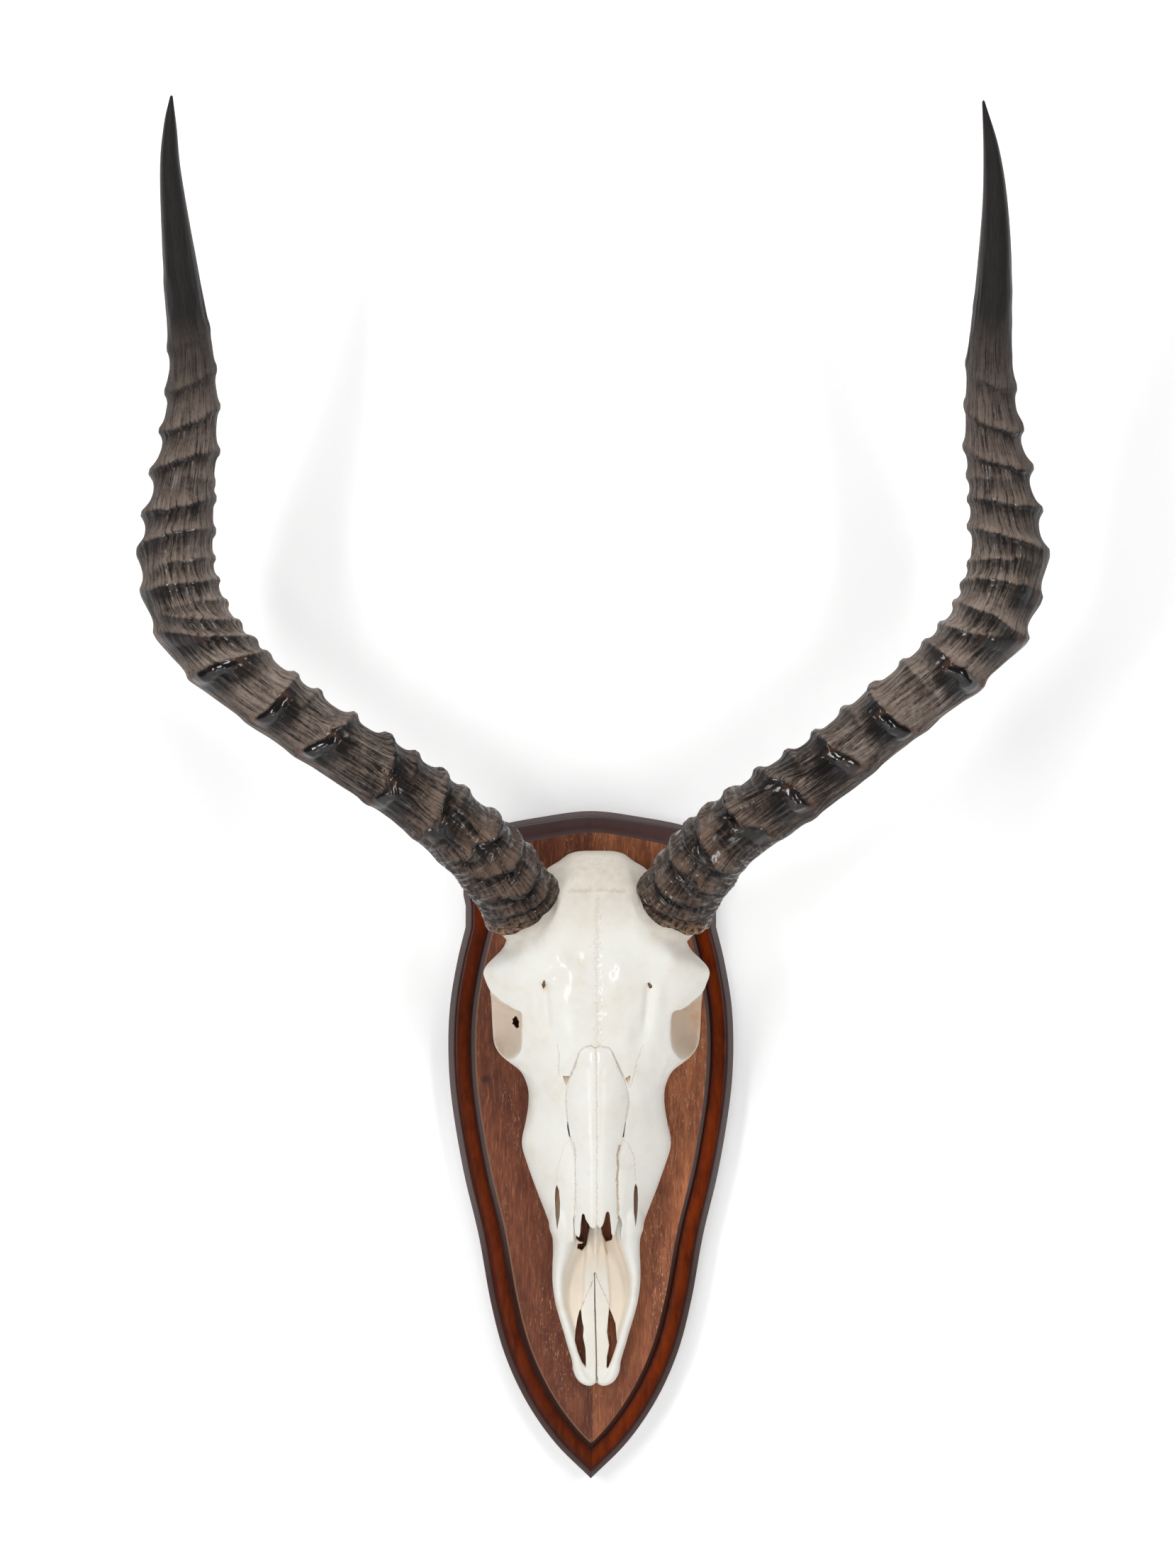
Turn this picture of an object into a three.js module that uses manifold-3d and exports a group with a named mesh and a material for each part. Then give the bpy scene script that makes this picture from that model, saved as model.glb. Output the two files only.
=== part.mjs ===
// Horns and sawn skull front of a red lechwe, screwed to a shield-shaped board made of two glued halves.
// Millimetres. Seen from the front x runs right and z up; the wall is the plane y = 0, and depth is -y.
// The origin is the middle of the shield's flat back.
import * as THREE from "three";
import { ParametricGeometry } from "three/addons/geometries/ParametricGeometry.js";
import { mergeVertices } from "three/addons/utils/BufferGeometryUtils.js";
import Module from "manifold-3d";

const wasm = await Module();
wasm.setup();

const gap = 0.3; // air between touching pieces

// Shield: half outline as x, z from the top centre round to the bottom point
const shieldTop = [[0, 187.4], [29.4, 183.8], [53.4, 179], [69.5, 172.5]];
const shieldEar = [[71.8, 152], [71.6, 140.2], [70.3, 134.2]];
const shieldSide = [
  [70.4, 122.2], [75.2, 102.2], [79.2, 77], [80, 50], [77.8, 22.2], [71.4, -15.4],
  [63, -51], [56.3, -88], [48.6, -117], [36.6, -143.5], [20.4, -167], [0, -187.4],
];
const topSteps = 7;
const sideSteps = 19;
const boardThickness = 22;
// Section of the moulded edge: how far in from the outline, and how far from the wall
const moulding = [[0, 12.5], [2.6, 14.6], [7, 15], [11.6, 16.4], [13, 19.4], [15.4, boardThickness]];
const seamX = 0.9; // the glue line between the two boards

// Skull: its middle line stands a little right of the shield's
const skullX = 3.1;
const skullBack = boardThickness + gap; // depth of the sawn face
const crownTop = 164.5;
const muzzleEnd = -51;
// Rows of the skull's mass: z, half width, height above the sawn face, squareness of the arch
const skullRows = [
  [crownTop, 14.5, 24, 3], [161, 20, 39, 3], [156, 27, 49, 3], [149, 33, 57, 3], [140, 40, 61, 2.8],
  [128, 47, 62, 2.7], [116, 50, 62, 2.7], [107.5, 56.5, 61.5, 2.8], [99, 62, 61, 3], [91, 60.5, 60.5, 3],
  [80, 59, 59.5, 3], [66, 58, 57, 2.8], [57, 56.5, 55, 2.6], [51, 53, 53, 2.5], [46, 48, 51.5, 2.4],
  [41, 41.5, 50, 2.4], [33, 38.5, 48, 2.4], [19, 38.3, 44.5, 2.3], [8, 40.8, 41.5, 2.2],
  [2, 41.4, 40, 2.2], [-10, 38, 37, 2.2], [-25, 33, 33.5, 2.2], [-39, 27.6, 31, 2.2],
  [muzzleEnd, 24, 28, 2.4],
];
const orbit = { x: 60, z: 67, depth: 50, radii: [21, 27, 21] }; // half sizes along x, y and z
// Rows of the nose bones: z, half width
const nasalWidths = [[57, 5], [41, 15.4], [30, 17], [7, 14.6], [0, 12], [-40, 12.6], [-50, 10.4]];
const nasalRise = 1.6; // the nose bones stand this proud of the face
const nasalEdge = { low: 5, shoulder: 2.2, flat: 0.55 }; // how far its sides reach down, and its flat share
const nasalCleft = { halfWidth: 1.2, topZ: -38 };
const cavity = { halfWidth: 12.5, narrowing: 0.7, topZ: -12, floor: 6.5, roof: 17 };
const premaxPath = [
  [27, -32, 13], [24, -54, 10.5], [22.4, -72, 8.4], [20.6, -88, 7], [17, -104, 6],
  [12.6, -119, 5.4], [7.4, -129, 5], [0, -129.6, 5],
]; // x, z and height above the sawn face along one side bar of the snout
const premaxSection = { halfWidth: 3.7, halfHeight: 4.9, sides: 8, steps: 13 };
const palateOutline = [[16, -40], [19.5, -60], [19.5, -80], [5.6, -92], [3, -127]]; // x, z along its right edge
const palate = { height: 4.6, cleft: 0.8, cleftTop: -48, cleftBottom: -113, cleftDepth: 2 };
const foramen = { x: 28.9, z: 94, height: 61, radii: [2.6, 7, 3.4] };
const vacuity = { x: 17.6, z: 38, height: 50, radii: [2, 7, 5.5] };
const browRise = { x: 31, z: 112, depth: 56, radii: [17, 16, 26] };
const archSteps = 20; // faces across the front of the skull
const ballSides = 14;
const ballRows = 8;

// Horns: middle line as x, depth, z and half width there, from the seat on the skull to the tip
const leftLine = [
  [-38, 68, 136.8, 21], [-51.7, 84, 156.6, 20.1], [-74.6, 95, 179.9, 18.9], [-105.2, 100, 203, 17.7],
  [-135.9, 100, 222.2, 17.3], [-166.8, 98, 243.4, 17.3], [-195.7, 97, 266.5, 18.1], [-215, 97, 290.7, 19.2],
  [-223.7, 98, 320.3, 18.5], [-221, 103, 358.4, 16.1], [-215.7, 110, 396.3, 13.6], [-214.8, 121, 431.6, 11.8],
  [-218.5, 135, 470, 9.7], [-222.5, 157, 523.9, 5.8], [-221.9, 168, 548.6, 3.5], [-220.5, 175, 564.7, 0.6],
];
const rightLine = [
  [44.9, 68, 136, 21], [68.1, 90, 168.3, 18.9], [98.6, 99, 191.5, 18.1], [129.2, 101, 212.6, 17.7],
  [160, 100, 237.6, 17.7], [190.9, 98, 262.6, 18.1], [213.3, 97, 288, 18.9], [224.8, 98, 320.3, 19.2],
  [222.5, 102, 354.7, 16.9], [216.8, 109, 392.5, 14.2], [214.2, 121, 429.7, 11.8], [215.4, 134, 466.4, 9.9],
  [214.7, 150, 506.4, 7.1], [211.6, 163, 536.2, 4.4], [206.1, 175, 562.1, 0.6],
];
// Ridges: distance along the horn on its outer side, front and inner side, then how far each stands out there
const leftRidges = [
  [13, 7, 5, 0.5, 1.2, 0.8], [32, 24, 25, 0.8, 2, 2.2], [54, 37, 38, 1, 2.4, 2.8], [62, 51, 52, 0.2, 2, 2.4],
  [77, 77, 86, 1.4, 2.8, 2.6], [90, 95, 103, 0.8, 0.2, 2.4], [108, 108, 120, 2, 3.2, 2.6],
  [158, 147, 142, 0.8, 3.2, 2.6], [173, 164, 166, 0, 0, 2.4], [194, 180, 182, 1.5, 3.2, 2.4],
  [222, 215, 202, 3, 3, 1.8], [247, 234, 214, 4, 2, 2.2], [254, 246, 228, 0, 2, 2.4],
  [266, 264, 260, 3.8, 1.6, 1.8], [274, 279, 280, 0, 1, 1.6], [284, 296, 297, 4.3, 1.6, 2],
  [302, 311, 315, 4.3, 1.6, 1.8], [324, 337, 341, 4.3, 1.6, 2], [348, 357, 364, 3.4, 1.5, 1.6],
  [371, 379, 384, 2.4, 1.1, 1.1], [396, 402, 406, 1.5, 0.2, 0.5],
];
const rightRidges = [
  [12, 6, 6, 0.6, 1.3, 1.1], [30, 20, 20, 0.8, 2, 2.4], [38, 33, 34, 1.2, 2.4, 2.6], [50, 47, 56, 1, 2.4, 2.6],
  [85, 71, 70, 1.2, 3, 2.6], [97, 99, 89, 1.8, 3.2, 2.6], [118, 114, 108, 0, 0, 2.4],
  [140, 131, 127, 1, 3, 2.4], [156, 148, 148, 0, 0, 2.2], [178, 163, 168, 1.5, 3.2, 2.4],
  [194, 188, 189, 0, 1, 2.2], [212, 208, 207, 3, 2.4, 2], [239, 230, 221, 3, 2, 2.4],
  [244, 242, 240, 0, 2, 2], [258, 262, 254, 3.6, 1.8, 2.2], [268, 276, 270, 0, 1.2, 1.6],
  [278, 288, 295, 4.3, 1.8, 2], [299, 308, 310, 4.3, 1.6, 2], [322, 329, 338, 4, 1.5, 1.8],
  [346, 350, 360, 3.2, 1.3, 1.5], [369, 374, 382, 2.2, 1, 1],
];
const hornSides = 15;
const hornDeeper = 1.1; // a horn is this much deeper front to back than wide
// A ridge slopes down over these distances, or over this share of the way to its neighbour
const ridgeFoot = { towardBase: 3.4, towardTip: 3.6, share: 0.4, lastFoot: 30 };
const pedicleSides = 24;
const curveDivisions = 800;
const smoothRows = [424, 450, 476, 500, 518]; // rows up the smooth end
const burrFlare = 2.2; // the rim at the seat stands out this far
const pedicle = { radius: 20.8, length: 26, clearRadius: 27, clearLength: 70 };

// Fasteners hidden behind
const skullScrew = { headRadius: 4, headHeight: 3, shankRadius: 2, length: 34 };
const skullScrewPlaces = { upper_left: [-19, 118], upper_right: [27, 118], lower: [-12, 32] }; // x, z
const hangerScrew = { headRadius: 3, headHeight: 1.8, shankRadius: 1.4, length: 12 };
const headSlope = 0.2; // share of a screw head's height below its rim
const hanger = { z: 150, width: 44, height: 18, thickness: 2, screwX: 16 };
const key = { radius: 4.2, below: 2.6, slotHalf: 1.9, slotUp: 5.6, steps: 9 }; // the keyhole in the hanger
const nailRoom = { halfWidth: 5.2, above: 7.6, below: 8, depth: 8 }; // hollow in the wood behind the keyhole
const screwSides = 12;
const below = { hangerFace: 0.1, hangerHead: 0.1, skullHead: 0.2 }; // how far these lie in from the wall
const past = 1; // how far a cutting shape runs beyond what it cuts
const reach = 200; // further than any edge of the shield

const leftWood = new THREE.MeshStandardMaterial({ color: 0x5a2a18, roughness: 0.45, metalness: 0 });
const rightWood = new THREE.MeshStandardMaterial({ color: 0x6b3119, roughness: 0.45, metalness: 0 });
const bone = new THREE.MeshStandardMaterial({ color: 0xe9e2d2, roughness: 0.5, metalness: 0 });
const keratin = new THREE.MeshStandardMaterial({ color: 0x3b322d, roughness: 0.4, metalness: 0 });
const steel = new THREE.MeshStandardMaterial({ color: 0x9a9a96, roughness: 0.35, metalness: 1 });
const brass = new THREE.MeshStandardMaterial({ color: 0xb08d4a, roughness: 0.35, metalness: 1 });

function solidOf(geometry) {
  const bare = geometry.clone();
  bare.deleteAttribute("normal");
  bare.deleteAttribute("uv");
  const merged = mergeVertices(bare, 1e-3);
  const triVerts = new Uint32Array(merged.index.array);
  return new wasm.Manifold(
    new wasm.Mesh({ numProp: 3, vertProperties: merged.attributes.position.array, triVerts }),
  );
}

function meshOf(name, solid, material) {
  const made = solid.getMesh();
  const geometry = new THREE.BufferGeometry();
  geometry.setAttribute("position", new THREE.BufferAttribute(made.vertProperties, 3));
  geometry.setIndex(new THREE.BufferAttribute(made.triVerts, 1));
  geometry.computeVertexNormals();
  const mesh = new THREE.Mesh(geometry, material);
  mesh.name = name;
  return mesh;
}

// A ring shrunk to its middle, which closes the end of a skin
function shut(ring) {
  const middle = new THREE.Vector3();
  for (const point of ring) middle.addScaledVector(point, 1 / ring.length);
  return ring.map(() => middle);
}

// A closed skin over rings of points, which may run either way round: the faces are turned to point out
function skin(rings) {
  const closed = [shut(rings[0]), ...rings, shut(rings[rings.length - 1])];
  const around = rings[0].length;
  const rows = closed.length - 1;
  const at = (u, v, target) => target.copy(closed[Math.round(v * rows)][Math.round(u * around) % around]);
  const solid = solidOf(new ParametricGeometry(at, around, rows));
  return solid.volume() > 0 ? solid : skin(rings.map((ring) => [...ring].reverse()));
}

// A solid turned round the y axis, given as radius and y pairs, with its foot moved to x, z
function turned(profile, x, z) {
  const points = profile.map(([radius, y]) => new THREE.Vector2(radius, y));
  const geometry = new THREE.LatheGeometry(points, screwSides);
  return solidOf(geometry.translate(x, 0, z));
}

// A flat shape given as x, z pairs, standing from one depth to another
function slab(outline, fromDepth, toDepth) {
  const shape = new THREE.Shape(outline.map(([x, z]) => new THREE.Vector2(x, z)));
  const geometry = new THREE.ExtrudeGeometry(shape, { depth: toDepth - fromDepth, bevelEnabled: false });
  geometry.rotateX(Math.PI / 2);
  return solidOf(geometry.translate(0, -fromDepth, 0));
}

function ball(x, depth, z, radii) {
  const geometry = new THREE.SphereGeometry(1, ballSides, ballRows);
  geometry.scale(radii[0], radii[1], radii[2]);
  return solidOf(geometry.translate(x, -depth, z));
}

function between(table, z, column) {
  const i = table.findIndex((row, k) => k > 0 && z >= row[0]);
  const low = table[i < 0 ? table.length - 1 : i];
  const high = table[(i < 0 ? table.length - 1 : i) - 1];
  const share = (z - low[0]) / (high[0] - low[0]);
  return low[column] + (high[column] - low[column]) * share;
}

const mirrored = (points) => points.map(([x, ...rest]) => [-x, ...rest]).reverse();

function shieldOutline() {
  const spline = (pairs, steps) =>
    new THREE.SplineCurve(pairs.map(([x, z]) => new THREE.Vector2(x, z))).getPoints(steps);
  const top = spline(shieldTop, topSteps);
  const side = spline(shieldSide, sideSteps);
  const ear = shieldEar.map(([x, z]) => new THREE.Vector2(x, z));
  const half = [...top, ...ear, ...side];
  const back = half.slice(1, -1).reverse().map((p) => new THREE.Vector2(-p.x, p.y));
  return [...half, ...back];
}

// The outline moved inwards, with mitred corners
function inset(outline, distance) {
  const count = outline.length;
  const inwards = (from, to) => new THREE.Vector2(to.y - from.y, from.x - to.x).normalize();
  return outline.map((point, i) => {
    const before = inwards(outline[(i + count - 1) % count], point);
    const after = inwards(point, outline[(i + 1) % count]);
    const mitre = before.clone().add(after).divideScalar(1 + before.dot(after));
    return point.clone().addScaledVector(mitre, distance);
  });
}

function shieldBlank() {
  const outline = shieldOutline();
  const ringAt = (points, depth) => points.map((p) => new THREE.Vector3(p.x, -depth, p.y));
  const rings = [ringAt(outline, 0)];
  for (const [inwards, depth] of moulding) rings.push(ringAt(inset(outline, inwards), depth));
  return skin(rings);
}

const box = (fromX, toX, fromZ, toZ) => [[fromX, fromZ], [toX, fromZ], [toX, toZ], [fromX, toZ]];

// Everything to the right of the glue line, or from a chosen distance past it
function rightOfSeam(shift) {
  return slab(box(seamX + shift, reach, -reach, reach), -past, boardThickness + past);
}

function screwProfile(screw, grow) {
  const head = screw.headRadius + grow;
  const shank = screw.shankRadius + grow;
  const coneEnd = -(screw.headHeight + grow);
  const end = -(screw.length + grow);
  return [[0, end], [shank, end], [shank, coneEnd], [head, -headSlope * screw.headHeight], [head, 0], [0, 0]];
}

// A screw with its head this far in from the wall, or grown into the hole for it
function screwAt(screw, grow, x, z, headBelow) {
  const profile = screwProfile(screw, grow).map(([radius, y]) => [radius, y - headBelow]);
  if (grow > 0) profile.splice(4, 2, [screw.headRadius + grow, past], [0, past]);
  return turned(profile, x, z);
}

function keyhole() {
  const round = [];
  const start = Math.asin(key.slotHalf / key.radius);
  for (let i = 0; i <= key.steps; i++) {
    const turn = Math.PI / 2 + start + ((2 * Math.PI - 2 * start) * i) / key.steps;
    round.push([key.radius * Math.cos(turn), hanger.z - key.below + key.radius * Math.sin(turn)]);
  }
  const top = hanger.z + key.slotUp;
  return slab([...round, [key.slotHalf, top], [-key.slotHalf, top]], -past, hanger.thickness + past);
}

function hangerBlank(grow, fromDepth, toDepth) {
  const x = hanger.width / 2 + grow;
  const z = hanger.height / 2 + grow;
  return slab(box(-x, x, hanger.z - z, hanger.z + z), fromDepth, toDepth);
}

const hangerScrewPlaces = { left: [-hanger.screwX, hanger.z], right: [hanger.screwX, hanger.z] };

function hangerPlate() {
  let plate = hangerBlank(0, below.hangerFace, hanger.thickness).subtract(keyhole());
  for (const [x, z] of Object.values(hangerScrewPlaces)) {
    plate = plate.subtract(screwAt(hangerScrew, gap, x, z, below.hangerHead));
  }
  return plate;
}

function shieldBoards() {
  const { halfWidth, above, below: under, depth } = nailRoom;
  const hollow = slab(box(-halfWidth, halfWidth, hanger.z - under, hanger.z + above), 0, depth);
  let blank = shieldBlank().subtract(hangerBlank(gap, -past, hanger.thickness + gap)).subtract(hollow);
  for (const [x, z] of Object.values(hangerScrewPlaces)) {
    blank = blank.subtract(screwAt(hangerScrew, gap, x, z, below.hangerHead));
  }
  for (const [x, z] of Object.values(skullScrewPlaces)) {
    blank = blank.subtract(screwAt(skullScrew, gap, x, z, below.skullHead));
  }
  return { left: blank.subtract(rightOfSeam(-gap / 2)), right: blank.intersect(rightOfSeam(gap / 2)) };
}

// One row of the skull's mass: flat behind, arched in front
function skullRing([z, halfWidth, height, square]) {
  const ring = [];
  for (let i = 0; i <= archSteps; i++) {
    const turn = (Math.PI * i) / archSteps;
    const across = Math.sign(Math.cos(turn)) * Math.abs(Math.cos(turn)) ** (2 / square);
    const out = Math.sin(turn) ** (2 / square);
    ring.push(new THREE.Vector3(skullX + halfWidth * across, -skullBack - 1 - (height - 1) * out, z));
  }
  ring.push(new THREE.Vector3(skullX - halfWidth, -skullBack, z));
  ring.push(new THREE.Vector3(skullX, -skullBack, z));
  ring.push(new THREE.Vector3(skullX + halfWidth, -skullBack, z));
  return ring;
}

// The pair of nose bones, a low crest over the face with two pointed ends
function nasals() {
  const ringAt = ([z, halfWidth]) => {
    const top = between(skullRows, z, 2) + nasalRise;
    const low = top - nasalEdge.low;
    const side = top - nasalEdge.shoulder;
    const section = [[1, low], [1, side], [nasalEdge.flat, top], [-nasalEdge.flat, top], [-1, side], [-1, low]];
    return section.map(([across, height]) =>
      new THREE.Vector3(skullX + halfWidth * across, -skullBack - height, z));
  };
  return skin(nasalWidths.map(ringAt));
}

// A bar along a path, closed at both ends
function bar(points, halfAcross, halfUp, sides, steps) {
  const shape = new THREE.Shape();
  for (let i = 0; i < sides; i++) {
    const turn = (2 * Math.PI * i) / sides;
    const corner = [halfUp * Math.cos(turn), halfAcross * Math.sin(turn)];
    if (i === 0) shape.moveTo(...corner);
    else shape.lineTo(...corner);
  }
  shape.closePath();
  const path = new THREE.CatmullRomCurve3(points);
  return solidOf(new THREE.ExtrudeGeometry(shape, { steps, extrudePath: path, bevelEnabled: false }));
}

function snoutBars() {
  const { halfWidth, halfHeight, sides, steps } = premaxSection;
  const both = [...premaxPath.slice(0, -1), ...mirrored(premaxPath)];
  const points = both.map(([x, z, height]) => new THREE.Vector3(skullX + x, -skullBack - height, z));
  return bar(points, halfWidth, halfHeight, sides, 2 * steps);
}

function palateFloor() {
  const { height, cleft, cleftTop, cleftBottom, cleftDepth } = palate;
  const outline = [...mirrored(palateOutline).reverse(), ...[...palateOutline].reverse()];
  const floor = slab(outline.map(([x, z]) => [skullX + x, z]), skullBack, skullBack + height);
  const groove = box(skullX - cleft / 2, skullX + cleft / 2, cleftBottom, cleftTop);
  return floor.subtract(slab(groove, skullBack + height - cleftDepth, skullBack + height + past));
}

// The seat of one horn: where its axis starts and the way it points
function seatOf(line) {
  const curve = hornCurve(line);
  return { at: curve.getPointAt(0), along: curve.getTangentAt(0) };
}

function cylinderAlong(seat, radius, from, to) {
  const geometry = new THREE.CylinderGeometry(radius, radius, to - from, pedicleSides);
  geometry.translate(0, (to + from) / 2, 0);
  geometry.applyQuaternion(new THREE.Quaternion().setFromUnitVectors(new THREE.Vector3(0, 1, 0), seat.along));
  return solidOf(geometry.translate(seat.at.x, seat.at.y, seat.at.z));
}

function skull() {
  let made = skin(skullRows.map(skullRing)).add(nasals());
  const { clearRadius, clearLength, radius, length } = pedicle;
  const ballAt = ({ x, z, radii }, side, depth) => ball(skullX + side * x, depth, z, radii);
  for (const line of [leftLine, rightLine]) made = made.add(cylinderAlong(seatOf(line), radius, -length, -gap));
  for (const side of [-1, 1]) {
    made = made.add(ballAt(browRise, side, browRise.depth)).subtract(ballAt(orbit, side, orbit.depth));
    made = made.subtract(ballAt(foramen, side, skullBack + foramen.height));
    made = made.subtract(ballAt(vacuity, side, skullBack + vacuity.height));
  }
  const { halfWidth, narrowing, topZ, floor, roof } = cavity;
  const mouthZ = muzzleEnd - past;
  const inner = halfWidth * narrowing;
  const mouth = [[-halfWidth, mouthZ], [halfWidth, mouthZ], [inner, topZ], [-inner, topZ]];
  made = made.subtract(slab(mouth.map(([x, z]) => [skullX + x, z]), skullBack + floor, skullBack + roof));
  const cleft = nasalCleft.halfWidth;
  const split = [[-cleft, mouthZ], [cleft, mouthZ], [0, nasalCleft.topZ]];
  made = made.subtract(slab(split.map(([x, z]) => [skullX + x, z]), skullBack + roof - past, reach));
  made = made.add(snoutBars()).add(palateFloor());
  made = made.subtract(slab(box(-reach, reach, -reach, reach), -past, skullBack));
  for (const line of [leftLine, rightLine]) {
    made = made.subtract(cylinderAlong(seatOf(line), clearRadius, -gap, clearLength));
  }
  for (const [x, z] of Object.values(skullScrewPlaces)) {
    made = made.subtract(screwAt(skullScrew, gap, x, z, below.skullHead));
  }
  return made;
}

function hornCurve(line) {
  const points = line.map(([x, depth, z]) => new THREE.Vector3(x, -depth, z));
  return new THREE.CatmullRomCurve3(points, false, "catmullrom", 0.5);
}

// Half width of the horn at a distance along it, without its ridges
function hornHalfWidth(line, curve, distance) {
  const length = curve.getLength();
  const at = curve.getUtoTmapping(0, Math.min(distance, length)) * (line.length - 1);
  const i = Math.min(Math.floor(at), line.length - 2);
  return line[i][3] + (line[i + 1][3] - line[i][3]) * (at - i);
}

// Rows of a horn: each ridge gives its foot towards the base, its crest and its foot towards the tip
function hornRows(ridges, length) {
  const rows = [{ at: [0, 0, 0], rise: [burrFlare, burrFlare, burrFlare] }];
  const { towardBase, towardTip, share, lastFoot } = ridgeFoot;
  ridges.forEach((ridge, k) => {
    const at = ridge.slice(0, 3);
    const rise = ridge.slice(3);
    const before = k ? ridges[k - 1] : [0, 0, 0];
    const after = ridges[k + 1] ?? at.map((d) => d + lastFoot);
    rows.push({ at: at.map((d, i) => d - Math.min(towardBase, (d - before[i]) * share)), rise: [0, 0, 0] });
    rows.push({ at, rise });
    rows.push({ at: at.map((d, i) => d + Math.min(towardTip, (after[i] - d) * share)), rise: [0, 0, 0] });
  });
  for (const distance of smoothRows) rows.push({ at: [distance, distance, distance], rise: [0, 0, 0] });
  rows.push({ at: [length, length, length], rise: [0, 0, 0] });
  return rows;
}

function horn(line, ridges) {
  const curve = hornCurve(line);
  curve.arcLengthDivisions = curveDivisions;
  const length = curve.getLength();
  const innerSide = -Math.sign(line[0][0]);
  const viewer = new THREE.Vector3(0, -1, 0);
  // Values given on the outer side, front and inner side, eased round the horn
  const around = ([outer, front, inner], turn) => {
    const even = (outer + inner) / 2;
    return even + (front - even) * Math.cos(turn) + ((inner - outer) / 2) * Math.sin(turn);
  };
  const rings = hornRows(ridges, length).map(({ at, rise }) => {
    const ring = [];
    for (let i = 0; i < hornSides; i++) {
      const turn = (2 * Math.PI * i) / hornSides;
      const distance = Math.min(Math.max(around(at, turn), 0), length);
      const along = curve.getTangentAt(distance / length);
      const front = viewer.clone().addScaledVector(along, -viewer.dot(along)).normalize();
      const side = new THREE.Vector3().crossVectors(along, front).multiplyScalar(innerSide);
      const radius = hornHalfWidth(line, curve, distance) + Math.max(around(rise, turn), 0);
      const point = curve.getPointAt(distance / length);
      point.addScaledVector(front, radius * hornDeeper * Math.cos(turn));
      ring.push(point.addScaledVector(side, radius * Math.sin(turn)));
    }
    return ring;
  });
  return skin(rings);
}

function fasteners(group) {
  for (const [place, [x, z]] of Object.entries(skullScrewPlaces)) {
    group.add(meshOf(`skull_screw_${place}`, screwAt(skullScrew, 0, x, z, below.skullHead), steel));
  }
  group.add(meshOf("hanger_plate", hangerPlate(), brass));
  for (const [place, [x, z]] of Object.entries(hangerScrewPlaces)) {
    group.add(meshOf(`hanger_screw_${place}`, screwAt(hangerScrew, 0, x, z, below.hangerHead), brass));
  }
}

const mount = new THREE.Group();
const boards = shieldBoards();
mount.add(meshOf("shield_left_board", boards.left, leftWood));
mount.add(meshOf("shield_right_board", boards.right, rightWood));
mount.add(meshOf("skull", skull(), bone));
mount.add(meshOf("horn_left", horn(leftLine, leftRidges), keratin));
mount.add(meshOf("horn_right", horn(rightLine, rightRidges), keratin));
fasteners(mount);

export default mount;
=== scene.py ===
import itertools
import math

import bpy
import numpy as np
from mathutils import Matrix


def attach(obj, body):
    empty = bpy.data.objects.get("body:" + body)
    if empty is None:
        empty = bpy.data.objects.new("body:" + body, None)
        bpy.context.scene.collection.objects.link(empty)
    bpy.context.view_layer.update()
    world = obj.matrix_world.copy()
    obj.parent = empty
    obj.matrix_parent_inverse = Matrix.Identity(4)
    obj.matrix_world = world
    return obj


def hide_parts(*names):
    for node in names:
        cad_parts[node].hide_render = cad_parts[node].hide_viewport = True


# Horns and skull front of a red lechwe on a wooden shield, hung on a pale wall.
# Sizes in the dictionaries are millimetres. x runs right, z up, and depth is how far out from the wall.
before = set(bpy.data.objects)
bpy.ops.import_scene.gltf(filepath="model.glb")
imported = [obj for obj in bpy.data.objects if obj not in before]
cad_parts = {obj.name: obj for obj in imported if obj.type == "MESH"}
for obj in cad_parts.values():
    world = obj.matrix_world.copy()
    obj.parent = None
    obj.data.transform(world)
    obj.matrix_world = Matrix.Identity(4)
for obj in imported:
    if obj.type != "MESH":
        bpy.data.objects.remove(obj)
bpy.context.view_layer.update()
mm = 0.001


# Small tools


def deselectAll():
    bpy.ops.object.select_all(action="DESELECT")


def take(piece):
    deselectAll()
    piece.select_set(True)
    bpy.context.view_layer.objects.active = piece


def added(name):
    piece = bpy.context.object
    piece.name = name
    piece.data.name = name
    return piece


def settle(piece):
    take(piece)
    bpy.ops.object.transform_apply(location=True, rotation=True, scale=True)


def finishWith(piece, kind, **values):
    take(piece)
    modifier = piece.modifiers.new(kind.lower(), kind)
    for key, value in values.items():
        setattr(modifier, key, value)
    bpy.ops.object.modifier_apply(modifier=modifier.name)


def pointsOf(piece):
    flat = np.empty(len(piece.data.vertices) * 3)
    piece.data.vertices.foreach_get("co", flat)
    return flat.reshape(-1, 3)


def movePoints(piece, points):
    piece.data.vertices.foreach_set("co", np.asarray(points, float).ravel())
    piece.data.update()


def smoothShade(piece, angle=None):
    take(piece)
    if angle is None:
        bpy.ops.object.shade_smooth()
    else:
        bpy.ops.object.shade_smooth_by_angle(angle=math.radians(angle))


def addAttribute(piece, name, values):
    attribute = piece.data.attributes.new(name, "FLOAT", "POINT")
    attribute.data.foreach_set("value", np.asarray(values, np.float32))


def removeAll(*pieces):
    for piece in pieces:
        bpy.data.objects.remove(piece)


def ease(values, low, high):
    share = np.clip((values - low) / (high - low), 0, 1)
    return share * share * (3 - 2 * share)


def hump(values, middle, width):
    return np.exp(-(((values - middle) / width) ** 2))


# Soft noise between 0 and 1 at points in a lattice of cells of this size
def softNoise(points, size, seed):
    cells = np.asarray(points, float) / size
    base = np.floor(cells)
    part = cells - base
    part = part * part * (3 - 2 * part)
    total = np.zeros(len(cells))
    for corner in itertools.product((0, 1), repeat=3):
        at = base + np.array(corner)
        mixed = np.sin(at @ np.array([12.9898, 78.233, 37.719]) + seed * 4.17) * 43758.5453
        weight = np.prod(np.where(np.array(corner), part, 1 - part), axis=1)
        total += weight * (mixed - np.floor(mixed))
    return total


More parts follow.
